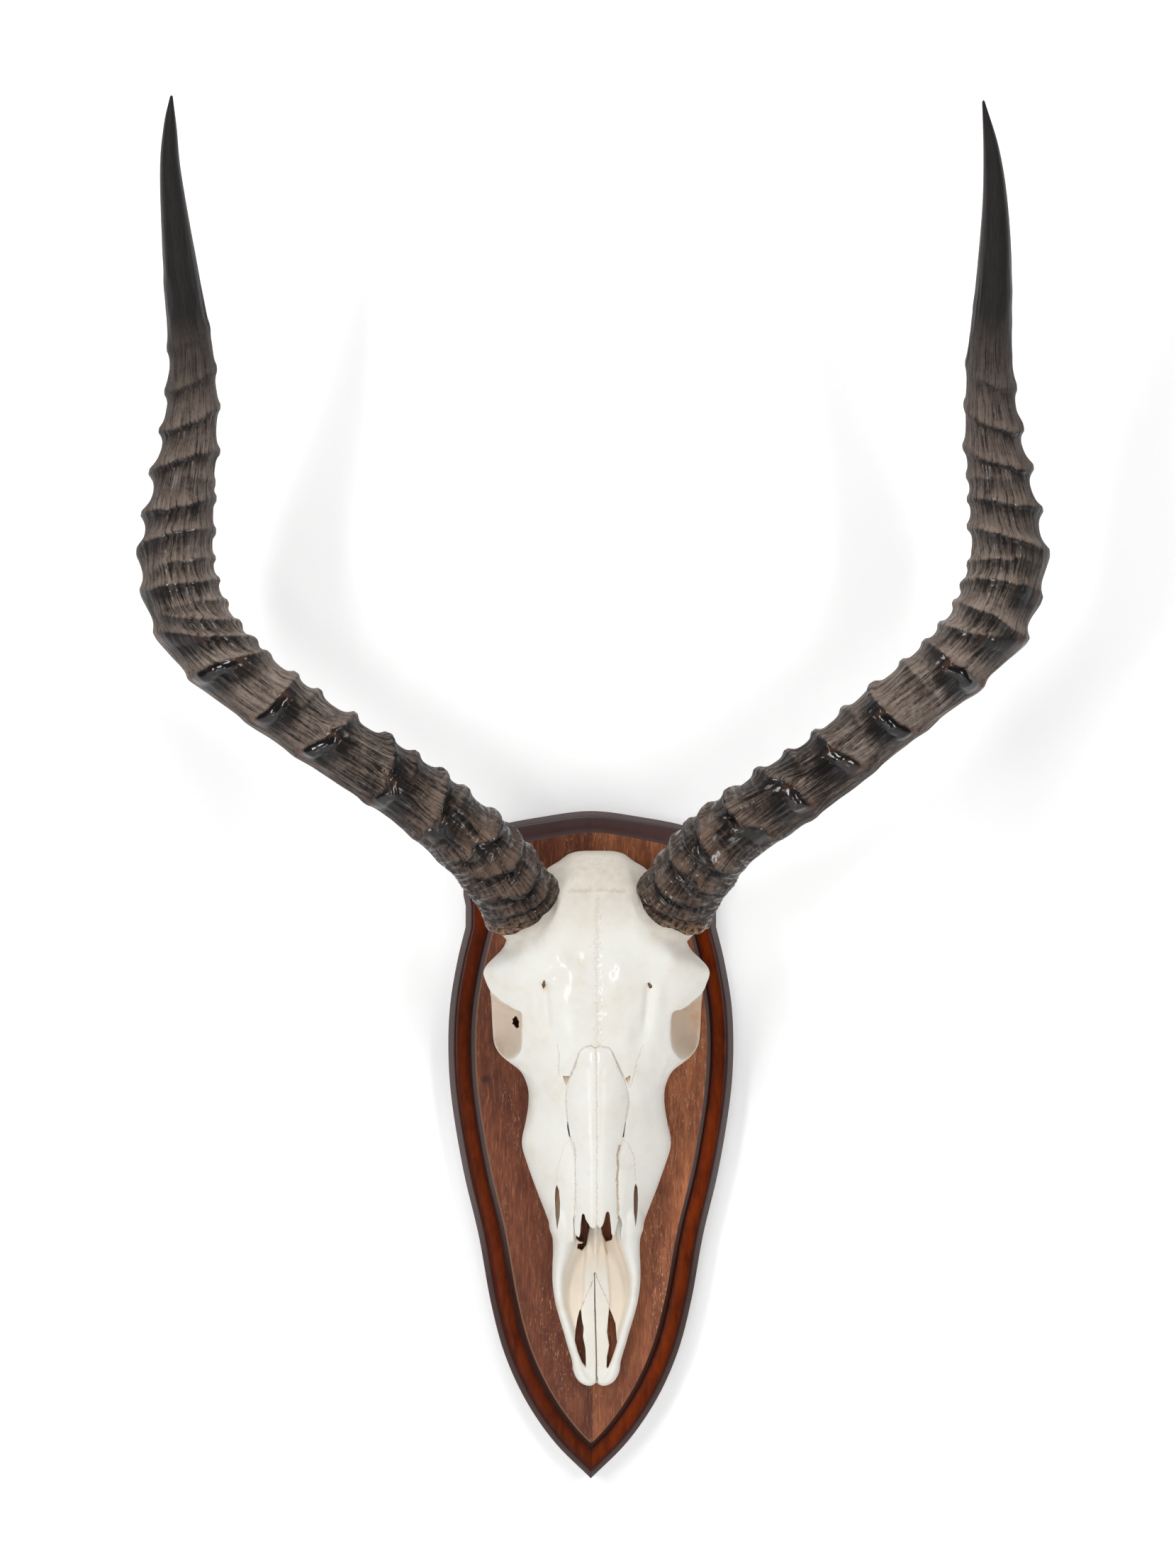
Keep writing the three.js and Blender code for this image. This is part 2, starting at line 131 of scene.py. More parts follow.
# A smooth line through rows of numbers, as [steps per row] more rows
def throughRows(rows, steps):
    rows = np.asarray(rows, float)
    padded = np.vstack([2 * rows[0] - rows[1], rows, 2 * rows[-1] - rows[-2]])
    made = []
    for i in range(len(rows) - 1):
        a, b, c, d = padded[i:i + 4]
        t = np.linspace(0, 1, steps, endpoint=False)[:, None]
        curved = (2 * a - 5 * b + 4 * c - d) * t**2 + (3 * b - a - 3 * c + d) * t**3
        made.append(0.5 * (2 * b + (c - a) * t + curved))
    made.append(rows[-1:])
    return np.vstack(made)


# Which points lie inside a closed outline, and how far each lies from it
def insideOf(outline, x, y):
    start = np.asarray(outline, float)
    end = np.roll(start, -1, axis=0)
    found = np.zeros(len(x), bool)
    for (ax, ay), (bx, by) in zip(start, end):
        crosses = (ay > y) != (by > y)
        with np.errstate(divide="ignore", invalid="ignore"):
            found ^= crosses & (x < (bx - ax) * (y - ay) / (by - ay) + ax)
    return found


def gapTo(outline, x, y):
    start = np.asarray(outline, float)
    end = np.roll(start, -1, axis=0)
    nearest = np.full(len(x), 1e9)
    for (ax, ay), (bx, by) in zip(start, end):
        reach = max((bx - ax) ** 2 + (by - ay) ** 2, 1e-9)
        along = np.clip(((x - ax) * (bx - ax) + (y - ay) * (by - ay)) / reach, 0, 1)
        nearest = np.minimum(nearest, np.hypot(x - ax - along * (bx - ax), y - ay - along * (by - ay)))
    return nearest


# A flat plate: a round of points moved onto an outline in x and z, then pulled out from one depth to another
def plate(name, outline, fromDepth, toDepth):
    outline = np.asarray(outline, float)
    deselectAll()
    bpy.ops.mesh.primitive_circle_add(vertices=len(outline), radius=0.05, fill_type="NGON")
    piece = added(name)
    points = np.zeros((len(outline), 3))
    points[:, 0], points[:, 1], points[:, 2] = outline[:, 0] * mm, -fromDepth * mm, outline[:, 1] * mm
    movePoints(piece, points)
    bpy.ops.object.mode_set(mode="EDIT")
    bpy.ops.mesh.select_all(action="SELECT")
    pull = {"value": (0, (fromDepth - toDepth) * mm, 0)}
    bpy.ops.mesh.extrude_region_move(TRANSFORM_OT_translate=pull)
    bpy.ops.mesh.select_all(action="SELECT")
    bpy.ops.mesh.normals_make_consistent(inside=False)
    bpy.ops.object.mode_set(mode="OBJECT")
    return piece


# A closed skin over rings of points, each ring with the same number of them
def skin(name, rings):
    rings = np.asarray(rings, float)
    count, around = rings.shape[:2]
    corner = np.arange(count * around).reshape(count, around)
    turned = np.roll(corner, -1, axis=1)
    sides = np.stack([corner[:-1], turned[:-1], turned[1:], corner[1:]], axis=2).reshape(-1, 4)
    mesh = bpy.data.meshes.new(name)
    faces = [*sides.tolist(), corner[0].tolist(), corner[-1].tolist()]
    mesh.from_pydata((rings.reshape(-1, 3) * mm).tolist(), [], faces)
    piece = bpy.data.objects.new(name, mesh)
    bpy.context.scene.collection.objects.link(piece)
    take(piece)
    bpy.ops.object.mode_set(mode="EDIT")
    bpy.ops.mesh.select_all(action="SELECT")
    bpy.ops.mesh.normals_make_consistent(inside=False)
    bpy.ops.object.mode_set(mode="OBJECT")
    return piece


def cut(piece, cutter):
    finishWith(piece, "BOOLEAN", operation="DIFFERENCE", object=cutter, solver="EXACT")
    removeAll(cutter)


def joinAll(name, pieces):
    deselectAll()
    for piece in pieces:
        piece.select_set(True)
    bpy.context.view_layer.objects.active = pieces[0]
    bpy.ops.object.join()
    return added(name)


# Material tools


class Paint:
    def __init__(self, name):
        self.material = bpy.data.materials.new(name)
        self.material.use_nodes = True
        self.tree = self.material.node_tree
        self.shader = self.tree.nodes["Principled BSDF"]
        self.output = self.tree.nodes["Material Output"]

    def add(self, kind, out=0, **inputs):
        node = self.tree.nodes.new("ShaderNode" + kind)
        for key, value in inputs.items():
            if hasattr(node, key) and key not in node.inputs:
                setattr(node, key, value)
                continue
            numbered = key[0] == "i" and key[1:].isdigit()
            self.feed(node.inputs[int(key[1:]) if numbered else key.replace("_", " ")], value)
        return node.outputs[out]

    def feed(self, socket, value):
        if isinstance(value, bpy.types.NodeSocket):
            self.tree.links.new(value, socket)
        else:
            socket.default_value = value

    def set(self, **inputs):
        for key, value in inputs.items():
            self.feed(self.shader.inputs[key.replace("_", " ")], value)

    def place(self, scale=(1, 1, 1), shift=(0, 0, 0)):
        spot = self.add("TexCoord", out=3)
        return self.add("Mapping", Vector=spot, Scale=scale, Location=shift)

    def read(self, name):
        node = self.tree.nodes.new("ShaderNodeAttribute")
        node.attribute_name = name
        return node.outputs["Fac"]

    def noise(self, spot, size, detail=3.0, rough=0.55):
        return self.add("TexNoise", Vector=spot, Scale=size, Detail=detail, Roughness=rough)

    def sum(self, kind, a, b=0.0, c=0.0):
        return self.add("Math", operation=kind, i0=a, i1=b, i2=c)

    def times(self, a, b):
        return self.sum("MULTIPLY", a, b)

    def plus(self, a, b):
        return self.sum("ADD", a, b)

    def less(self, a, b):
        return self.sum("SUBTRACT", a, b)

    def most(self, a, b):
        return self.sum("MAXIMUM", a, b)

    def between(self, value, low, high, toLow=0.0, toHigh=1.0):
        return self.add("MapRange", i0=value, i1=low, i2=high, i3=toLow, i4=toHigh)

    def mix(self, share, a, b):
        return self.add("Mix", out=2, data_type="RGBA", i0=share, i6=a, i7=b)

    # How near the value is to a line drawn through points given as value along, value across
    def seam(self, along, across, points, width):
        low, high = points[0][0], points[-1][0]
        reach, fade = 400, 0.4  # span of the curve's values, and how softly the line ends
        node = self.tree.nodes.new("ShaderNodeFloatCurve")
        self.feed(node.inputs["Value"], self.between(along, low, high))
        curve = node.mapping.curves[0]
        while len(curve.points) < len(points):
            curve.points.new(0.5, 0.5)
        for point, (at, out) in zip(curve.points, points):
            point.location = ((at - low) / (high - low), 0.5 + out / reach)
            point.handle_type = "VECTOR"
        node.mapping.update()
        offset = self.less(across, self.sum("MULTIPLY_ADD", node.outputs[0], reach, -reach / 2))
        line = self.between(self.sum("ABSOLUTE", offset), width * 0.25, width, 1.0, 0.0)
        begun = self.between(along, low - fade, low + fade)
        going = self.between(along, high - fade, high + fade, 1.0, 0.0)
        return self.times(line, self.times(begun, going))

    def bump(self, height, strength, distance):
        return self.add("Bump", Height=height, Strength=strength, Distance=distance)


def shade(red, green, blue):
    line = lambda v: v / 12.92 if v <= 0.04045 else ((v + 0.055) / 1.055) ** 2.4
    return (line(red / 255), line(green / 255), line(blue / 255), 1)


# Camera, wall, floor and light

view = {
    "at": (-1.6, -2550, 202.6),
    "lens": 103.75,
    "sensor": 36,
    "wall": 1.0,
    "wallWidth": 5000,
    "floor": -760,
    "lampAim": (0, -60, 220),
}
lamps = [  # name, place, width, height, power
    ("overheadLamp", (-250, -1300, 2000), 900, 520, 19),
    ("leftStrip", (-1450, -2000, 380), 300, 1150, 19.2),
    ("rightStrip", (1450, -2000, 300), 300, 1150, 14.5),
    ("frontLamp", (-420, -2400, -420), 150, 380, 3.2),
    ("lowLeftLamp", (-330, -1000, -560), 160, 300, 0.42),
    ("lowRightLamp", (330, -1000, -560), 160, 300, 0.3),
]


def setStage():
    camera = bpy.data.objects.new("viewCamera", bpy.data.cameras.new("viewCamera"))
    bpy.context.scene.collection.objects.link(camera)
    camera.location = [v * mm for v in view["at"]]
    camera.rotation_euler = (math.pi / 2, 0, 0)
    camera.data.sensor_fit = "VERTICAL"
    camera.data.sensor_height = view["sensor"]
    camera.data.lens = view["lens"]
    bpy.context.scene.camera = camera
    bpy.context.scene.view_settings.view_transform = "Standard"

    deselectAll()
    wide = view["wallWidth"] * mm
    high = view["floor"] * mm
    middle = (0, view["wall"] * mm, high + wide / 2)
    bpy.ops.mesh.primitive_plane_add(size=1, rotation=(math.pi / 2, 0, 0), location=middle)
    wall = added("paleWall")
    wall.scale = (wide, wide, 1)
    settle(wall)
    paint = Paint("palePaint")
    grain = paint.noise(paint.place(), 600)
    paint.set(Base_Color=(0.86, 0.86, 0.86, 1), Roughness=0.9)
    paint.set(Emission_Color=(1, 1, 1, 1), Emission_Strength=0.3)
    paint.set(Normal=paint.bump(grain, 0.05, 0.0004))
    # From behind, the wall is clear
    facing = paint.add("NewGeometry", out=6)
    clear = paint.add("BsdfTransparent")
    both = paint.add("MixShader", i0=facing, i1=paint.shader.outputs[0], i2=clear)
    paint.feed(paint.output.inputs["Surface"], both)
    wall.data.materials.append(paint.material)

    deselectAll()
    bpy.ops.mesh.primitive_plane_add(size=1, location=(0, 0, high))
    floor = added("paleFloor")
    floor.scale = (wide, wide, 1)
    settle(floor)
    paint = Paint("paleFloorPaint")
    paint.set(Base_Color=(0.84, 0.84, 0.84, 1), Roughness=0.85)
    paint.set(Normal=paint.bump(paint.noise(paint.place(), 400), 0.05, 0.0004))
    floor.data.materials.append(paint.material)

    for name, place, width, height, power in lamps:
        lamp = bpy.data.objects.new(name, bpy.data.lights.new(name, "AREA"))
        bpy.context.scene.collection.objects.link(lamp)
        lamp.data.shape = "RECTANGLE"
        lamp.data.size, lamp.data.size_y = width * mm, height * mm
        lamp.data.energy = power
        lamp.location = [v * mm for v in place]
        aim = np.array(view["lampAim"]) * mm - np.array(place) * mm
        tilt = math.atan2(math.hypot(aim[0], aim[1]), -aim[2])
        lamp.rotation_euler = (tilt, 0, math.atan2(aim[0], -aim[1]) + math.pi)
    world = bpy.data.worlds.new("studioWorld")
    bpy.context.scene.world = world
    world.use_nodes = True
    world.node_tree.nodes["Background"].inputs["Color"].default_value = (1, 1, 1, 1)
    world.node_tree.nodes["Background"].inputs["Strength"].default_value = 0.1
    print("stage and lamps are set")


# Shield

shield = {
    "top": [(0, 187.4), (29.4, 183.8), (53.4, 179), (69.5, 172.5)],
    "ear": [(71.8, 152), (71.6, 140.2), (70.3, 134.2)],
    "side": [
        (70.4, 122.2), (75.2, 102.2), (79.2, 77), (80, 50), (77.8, 22.2), (71.4, -15.4),
        (63, -51), (56.3, -88), (48.6, -117), (36.6, -143.5), (20.4, -167), (0, -187.4),
    ],
    "middle": (0, 30),
    "step": 2.6,
    # across the moulding: distance in from the outline, height over the wall
    "moulding": [
        (0, 0), (0, 0.6), (0, 6), (0, 12), (0.1, 12.3), (0.8, 13.4), (1.6, 14.7), (2.4, 16), (3.1, 17),
        (3.7, 17.6), (4.5, 17.95),
        (6, 18.2), (7.8, 18.3), (9.6, 18.25), (11, 18.1), (12, 17.95), (12.5, 18.0), (12.8, 18.3),
        (13.5, 19.25),
        (14.3, 20.35), (15, 21.3), (15.3, 21.75), (15.6, 22),
    ],
    "thickness": 22,
    "seam": 0.9,
    "seamGap": 0.01,
    "panelShift": 0.5,  # the panel sits a little to the right within the moulding
    "topPull": 3.6,  # the moulding is narrower along the top
    "topRange": (156, 171),
    "knot": (-58.7, -22, 37.4),
}
skullScrews = {"upper_left": (-19, 118), "upper_right": (27, 118), "lower": (-12, 32)}
skullScrew = {"head": 4, "headHeight": 3, "shank": 2, "length": 34, "sunk": 0.2, "inWood": 26, "inBone": 36}
hanger = {
    "z": 150, "width": 44, "height": 18, "thickness": 2, "screwX": 16,
    "round": 4.2, "roundBelow": 2.6, "slot": 1.9, "slotUp": 5.6, "sunk": 0.1, "bevel": 0.5,
    "nailRoom": {"half": 5.2, "below": 8, "above": 7.6, "depth": 8},
}
hangerScrew = {"head": 3, "headHeight": 1.8, "shank": 1.4, "length": 12, "sunk": 0.1, "inWood": 12.3}
play = 0.3  # room around a screw or the hanger


def woodPaint(name, tones, gloss):
    paint = Paint(name)
    shift = tones["shift"]
    wander = paint.times(paint.less(paint.noise(paint.place((1, 1, 0.3), shift), 14, 2), 0.5), 0.012)
    sway = paint.add("CombineXYZ", X=wander)
    drawn = lambda stretch: paint.place((1, 1, stretch), shift)
    bent = lambda stretch: paint.add("VectorMath", operation="ADD", i0=drawn(stretch), i1=sway)
    bands = paint.noise(bent(0.05), 85, 4, 0.6)
    mottle = paint.noise(bent(0.3), 240, 4, 0.65)
    fibre = paint.noise(bent(0.1), 1300, 3, 0.6)
    speck = paint.noise(bent(0.22), 1700, 2, 0.6)
    share = paint.plus(paint.times(bands, 0.55), paint.times(mottle, 0.45))
    tone = paint.mix(paint.between(share, 0.33, 0.66), tones["dark"], tones["light"])
    tone = paint.mix(paint.between(fibre, 0.5, 0.36, 0.0, 0.55), tone, tones["dark"])
    tone = paint.mix(paint.between(fibre, 0.55, 0.7, 0.0, 0.6), tone, tones["streak"])
    axes = paint.add("SeparateXYZ", Vector=paint.place())
    depth, height = axes.node.outputs[1], axes.node.outputs[2]
    if gloss:
        inwards = paint.read("inwards")
        # Painted shade at both ends of the moulding's middle band, and a painted highlight (the glow) along
        # its middle
        middle = paint.times(paint.between(inwards, 3.6, 7.4), paint.between(inwards, 12.6, 9.2))
        bandEndShade = paint.most(paint.between(inwards, 5.8, 3.2), paint.between(inwards, 10.4, 12.6))
        tone = paint.mix(paint.times(bandEndShade, 0.85), tone, tones["edge"])
        lively = paint.between(mottle, 0.35, 0.65, 0.35, 1.0)
        tone = paint.mix(paint.times(middle, lively), tone, tones["glow"])
        # Pale line along the panel's arris: partly wear, partly a painted highlight on the edge
        wornAndGlint = paint.times(paint.between(inwards, 15.02, 15.25), tones["wornAndGlint"])
        tone = paint.mix(wornAndGlint, tone, shade(205, 158, 130))
        # Painted grey reflection of the room on both slopes, fading to dark brown towards the bottom
        steps = paint.times(paint.between(inwards, 12.8, 13.4), paint.between(inwards, 15.3, 15.1))
        steps = paint.most(steps, paint.between(inwards, 4, 2.8))
        roomSheen = paint.mix(paint.between(height, -0.02, -0.075), shade(96, 85, 84), shade(62, 38, 32))
        tone = paint.mix(paint.times(steps, 0.85), tone, roomSheen)
        # Painted grey reflection of the room over the top of the moulding
        upper = paint.between(height, 0.15, 0.166)
        tone = paint.mix(paint.times(upper, 0.8), tone, shade(84, 71, 71))
        paint.set(Roughness=0.5, Specular_IOR_Level=0.05)
        paint.set(Coat_Weight=paint.between(middle, 0, 1, 0.2, 0.04), Coat_Roughness=0.25)
        strength = 0.04
    else:
        groups = paint.between(paint.noise(bent(0.3), 45, 2), 0.45, 0.62)
        tone = paint.mix(paint.between(height, -0.03, -0.1, 0.0, 0.3), tone, tones["dark"])
        pores = paint.times(paint.between(speck, 0.61, 0.69), groups)
        tone = paint.mix(paint.times(pores, 0.75), tone, tones["pore"])
        knotPlace = [v * mm for v in shield["knot"]]
        knot = paint.add("VectorMath", operation="DISTANCE", out=1, i0=paint.place(), i1=knotPlace)
        tone = paint.mix(paint.between(knot, 0.0012, 0.0034, 0.75, 0.0), tone, shade(52, 26, 18))
        paint.set(Roughness=paint.between(fibre, 0.2, 0.8, 0.5, 0.66), Specular_IOR_Level=0.3)
        strength = 0.5
    # The flat back is bare wood
    bare = paint.mix(paint.between(share, 0.33, 0.66), shade(88, 54, 34), shade(122, 82, 56))
    bare = paint.mix(paint.between(fibre, 0.55, 0.7, 0.0, 0.4), bare, shade(142, 100, 72))
    tone = paint.mix(paint.between(depth, -0.0003, -0.0001), tone, bare)
    paint.set(Base_Color=tone)
    paint.set(Normal=paint.bump(paint.plus(fibre, paint.times(speck, 0.5)), strength, 0.0003))
    return paint.material


woods = {
    "left": {
        "shift": (0, 0, 0),
        "panel": {
            "light": shade(134, 74, 46), "dark": shade(76, 36, 22), "streak": shade(160, 102, 72),
            "pore": shade(196, 158, 138),
        },
        "moulding": {
            "light": shade(78, 23, 3), "dark": shade(46, 11, 1), "streak": shade(102, 36, 5),
            "glow": shade(100, 37, 6), "edge": shade(36, 9, 3), "wornAndGlint": 0.35,
        },
    },
    "right": {
        "shift": (0.31, 0, 0.07),
        "panel": {
            "light": shade(172, 104, 66), "dark": shade(102, 54, 34), "streak": shade(192, 130, 90),
            "pore": shade(214, 178, 154),
        },
        "moulding": {
            "light": shade(82, 24, 1), "dark": shade(48, 11, 0), "streak": shade(118, 44, 2),
            "glow": shade(120, 44, 2), "edge": shade(40, 11, 3), "wornAndGlint": 0.9,
        },
    },
}


def shieldOutline():
    top = throughRows([(-x, z) for x, z in shield["top"][1:2]] + shield["top"], 12)[12:]
    side = throughRows(shield["side"], 14)
    half = np.vstack([top, shield["ear"], side])
    rough = np.vstack([half, half[1:-1][::-1] * [-1, 1]])
    fine = []
    for a, b in zip(rough, np.roll(rough, -1, axis=0)):
        count = max(1, round(np.linalg.norm(b - a) / shield["step"]))
        fine += [a + (b - a) * i / count for i in range(count)]
    return np.array(fine)


# The outline drawn in by a distance, along rays from the middle, so every ring has as many points
def drawnIn(outline, distance):
    ends = np.roll(outline, -1, axis=0) - outline
    middle = np.array(shield["middle"])
    near, far = np.zeros(len(outline)), np.ones(len(outline))
    for _ in range(26):
        half = (near + far) / 2
        at = middle + (outline - middle) * half[:, None]
        off = at[:, None, :] - outline[None, :, :]
        along = np.clip((off * ends).sum(2) / (ends**2).sum(1), 0, 1)
        gap = np.linalg.norm(off - along[..., None] * ends, axis=2).min(1)
        near, far = np.where(gap >= distance, half, near), np.where(gap >= distance, far, half)
    return middle + (outline - middle) * near[:, None]


def makeShield():
    outline = shieldOutline()
    rings = []
    for inwards, height in shield["moulding"]:
        ring = drawnIn(outline, inwards) if inwards else outline
        share = inwards / shield["moulding"][-1][0]
        pull = shield["topPull"] * share * ease(ring[:, 1], *shield["topRange"])
        ring = ring + np.column_stack([pull * 0 + shield["panelShift"] * share, pull])
        rings.append(np.stack([ring[:, 0], np.full(len(ring), -height), ring[:, 1]], axis=1))
    blank = skin("shieldBlank", rings)

    # Pockets behind for the hanger and the screws
    h, nail, screw = hanger, hanger["nailRoom"], skullScrew
    wide, high = h["width"] / 2 + play, h["height"] / 2 + play
    pocket = boxOutline(-wide, wide, h["z"] - high, h["z"] + high)
    cut(blank, plate("hangerPocket", pocket, -1, h["thickness"] + play))
    pocket = boxOutline(-nail["half"], nail["half"], h["z"] - nail["below"], h["z"] + nail["above"])
    cut(blank, plate("nailPocket", pocket, -1, nail["depth"]))
    for x, z in skullScrews.values():
        hole = screwBody("screwHole", x, z, screw["head"] + play, screw["headHeight"],
                         screw["shank"] + play, screw["inWood"], -1)
        cut(blank, hole)
    bore, deep = hangerScrew["shank"] + play, hangerScrew["inWood"]
    for side in (-1, 1):
        cut(blank, screwBody("screwHole", side * h["screwX"], h["z"], bore, 1, bore, deep, 0))

    for side, name in ((-1, "left"), (1, "right")):
        take(blank)
        bpy.ops.object.duplicate()
        board = added("shield_%s_wood" % name)
        bpy.ops.object.mode_set(mode="EDIT")
        bpy.ops.mesh.select_all(action="SELECT")
        seamAt = ((shield["seam"] + side * shield["seamGap"]) * mm, 0, 0)
        bpy.ops.mesh.bisect(plane_co=seamAt, plane_no=(side, 0, 0), use_fill=True, clear_inner=True)
        bpy.ops.object.mode_set(mode="OBJECT")
        tones = woods[name]
        board.data.materials.clear()
        for part in ("panel", "moulding"):
            colours = {**tones[part], "shift": tones["shift"]}
            board.data.materials.append(woodPaint(name + part, colours, part == "moulding"))
        spots = pointsOf(board) / mm
        addAttribute(board, "inwards", gapTo(outline, spots[:, 0], spots[:, 2]))
        for face in board.data.polygons:
            flat = face.normal.y < -0.999 and face.center.y < (0.1 - shield["thickness"]) * mm
            face.material_index = 0 if flat else 1
        smoothShade(board, 28)
        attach(board, "root")
        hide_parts("shield_%s_board" % name)
    removeAll(blank)
    print("shield boards are cut")


def boxOutline(fromX, toX, fromZ, toZ):
    return [(fromX, fromZ), (toX, fromZ), (toX, toZ), (fromX, toZ)]


# A countersunk screw from behind: head down to a cone, then a shank. Also cuts its own hole.
def screwBody(name, x, z, headRadius, headHeight, shankRadius, length, startDepth):
    deselectAll()
    spot = (x * mm, -startDepth * mm, z * mm)
    bpy.ops.mesh.primitive_circle_add(vertices=32, radius=headRadius * mm, fill_type="NGON",
                                      rotation=(-math.pi / 2, 0, 0), location=spot)
    piece = added(name)
    settle(piece)
    center = (x * mm, 0, z * mm)
    bpy.ops.object.mode_set(mode="EDIT")
    bpy.ops.mesh.select_all(action="SELECT")
    edge = 0.4  # upright edge of the head
    narrowing = shankRadius / headRadius
    steps = [(max(-startDepth, 0) + edge, 1), (headHeight - edge, narrowing), (length - headHeight, 1)]
    for far, share in steps:
        bpy.ops.mesh.extrude_region_move(TRANSFORM_OT_translate={"value": (0, -far * mm, 0)})
        if share != 1:
            bpy.ops.transform.resize(value=(share, 1, share), center_override=center)
    bpy.ops.mesh.select_all(action="SELECT")
    bpy.ops.mesh.normals_make_consistent(inside=False)
    bpy.ops.object.mode_set(mode="OBJECT")
    return piece


# Horns

horns = {
    "left": {
        # middle line: x, depth, z and half width
        "line": [
            (-38, 68, 136.8, 21), (-51.7, 84, 156.6, 20.1), (-74.6, 95, 179.9, 18.9),
            (-105.2, 100, 203, 17.7),
            (-135.9, 100, 222.2, 17.3), (-166.8, 98, 243.4, 17.3), (-195.7, 97, 266.5, 18.1),
            (-215, 97, 290.7, 19.2),
            (-223.7, 98, 320.3, 18.5), (-221, 103, 358.4, 16.1), (-215.7, 110, 396.3, 13.6),
            (-214.8, 121, 431.6, 11.8),
            (-218.5, 135, 470, 9.7), (-222.5, 157, 523.9, 5.8), (-221.9, 168, 548.6, 3.5),
            (-220.5, 175, 564.7, 0.6),
        ],
        # along the horn on its outer side, front and inner side; how far out there; lean;
        # knob's turn, spread and rise
        "ridges": [
            (10, 5, 3, 0.6, 1.2, 0.8, -1, None), (20, 13, 13, 0.6, 1.6, 1.6, -1, None),
            (32, 24, 25, 0.8, 2.2, 2.4, -1, None),
            (54, 36, 38, 0.8, 2.6, 3, -1, None), (58, 52, 52, 0.3, 2.4, 3, -1, (4, 16, 0.5)),
            (74, 71, 71, 0, 0.3, 2.6, -0.3, None),
            (78, 77, 86, 1, 2.8, 3.2, -0.8, (-22, 20, 1.4)), (88, 95, 103, 0.4, 0.2, 3.2, -0.3, None),
            (112, 108, 120, 1.2, 2.6, 3.3, -0.2, (-30, 30, 2)),
            (158, 147, 142, 0.6, 2.2, 3.3, 0.1, (-17, 30, 2.6)),
            (166, 166, 166, 0, 0, 3, 0, None), (188, 180, 182, 0.8, 2.4, 2.8, 0.5, (-12, 33, 2.8)),
            (222, 215, 202, 2.6, 2.2, 2, 1, (-24, 41, 2.2)), (247, 234, 214, 3.6, 2, 2.4, 1, (-38, 30, 1)),
            (252, 246, 228, 0, 1.6, 2.4, 0.5, None), (254, 254, 246, 0, 0.8, 2.2, 0.3, None),
            (266, 266, 264, 3.8, 2, 2, 0.8, None), (270, 279, 280, 0, 1.2, 1.8, 0.3, None),
            (283, 296, 297, 4.4, 1.8, 2.2, 0.2, None), (302, 311, 315, 4.4, 1.8, 2, -0.4, None),
            (320, 326, 324, 0, 0.5, 1.4, 0, None), (324, 337, 341, 4.4, 1.7, 2.2, -0.6, None),
            (348, 357, 364, 3.4, 1.5, 1.8, -0.7, None), (371, 379, 384, 2.4, 1.1, 1.2, -0.7, None),
            (396, 402, 406, 1.5, 0.4, 0.6, -0.7, None),
        ],
        "seed": 3,
    },
    "right": {
        "line": [
            (44.9, 68, 136, 21), (68.1, 90, 168.3, 18.9), (98.6, 99, 191.5, 18.1), (129.2, 101, 212.6, 17.7),
            (160, 100, 237.6, 17.7), (190.9, 98, 262.6, 18.1), (213.3, 97, 288, 18.9),
            (224.8, 98, 320.3, 19.2),
            (222.5, 102, 354.7, 16.9), (216.8, 109, 392.5, 14.2), (214.2, 121, 429.7, 11.8),
            (215.4, 134, 466.4, 9.9),
            (214.7, 150, 506.4, 7.1), (211.6, 163, 536.2, 4.4), (206.1, 175, 562.1, 0.6),
        ],
        "ridges": [
            (8, 1, 2, 0.5, 1, 0.8, -1, None), (14, 8, 8, 0.6, 1.5, 1.4, -1, None),
            (29, 20, 20, 0.8, 2, 2.6, -1, None),
            (35, 33, 34, 1, 2.6, 3, -1, (0, 18, 0.5)), (46, 45, 45, 0, 0.5, 2.6, -0.5, None),
            (50, 48, 56, 0.8, 2.6, 3, -1, (4, 16, 0.6)),
            (82, 71, 70, 0.8, 2.8, 3.2, -0.9, (-20, 26, 1.2)),
            (99, 99, 89, 1.2, 2.6, 3.3, -0.2, (-14, 24, 2.6)),
            (108, 108, 108, 0, 0, 3.2, 0, None), (140, 131, 127, 0.6, 2.4, 3.2, 0.1, (-8, 27, 2.4)),
            (148, 148, 148, 0, 0, 2.8, 0, None), (175, 163, 168, 0.8, 2.6, 2.8, 0.5, (-16, 30, 2.6)),
            (190, 188, 189, 0, 0.6, 2.6, 0.5, None), (212, 208, 207, 2.6, 2.2, 2.4, 1, (-28, 34, 2.2)),
            (240, 229, 221, 2, 2, 2.6, 1, (-34, 30, 1)), (240, 242, 240, 3.4, 2, 2.4, 1, None),
            (258, 263, 254, 3.6, 2, 2.4, 0.8, (-40, 24, 0.8)), (270, 276, 270, 0, 1.4, 1.8, 0.3, None),
            (278, 288, 295, 4.4, 2, 2.2, 0.6, None), (299, 308, 310, 4.4, 1.8, 2, -0.2, None),
            (318, 321, 323, 0, 0.5, 1.6, 0, None), (322, 329, 338, 4, 1.6, 2, -0.6, None),
            (346, 350, 360, 3.2, 1.4, 1.6, -0.7, None), (369, 374, 382, 2.2, 1, 1, -0.7, None),
        ],
        "seed": 8,
    },
    "deeper": 1.1,  # depth over width
    "rowSteps": (1.5, 2.5),  # ridged part, smooth tip
    "smoothFrom": 330,
    "burr": 2.4,
}


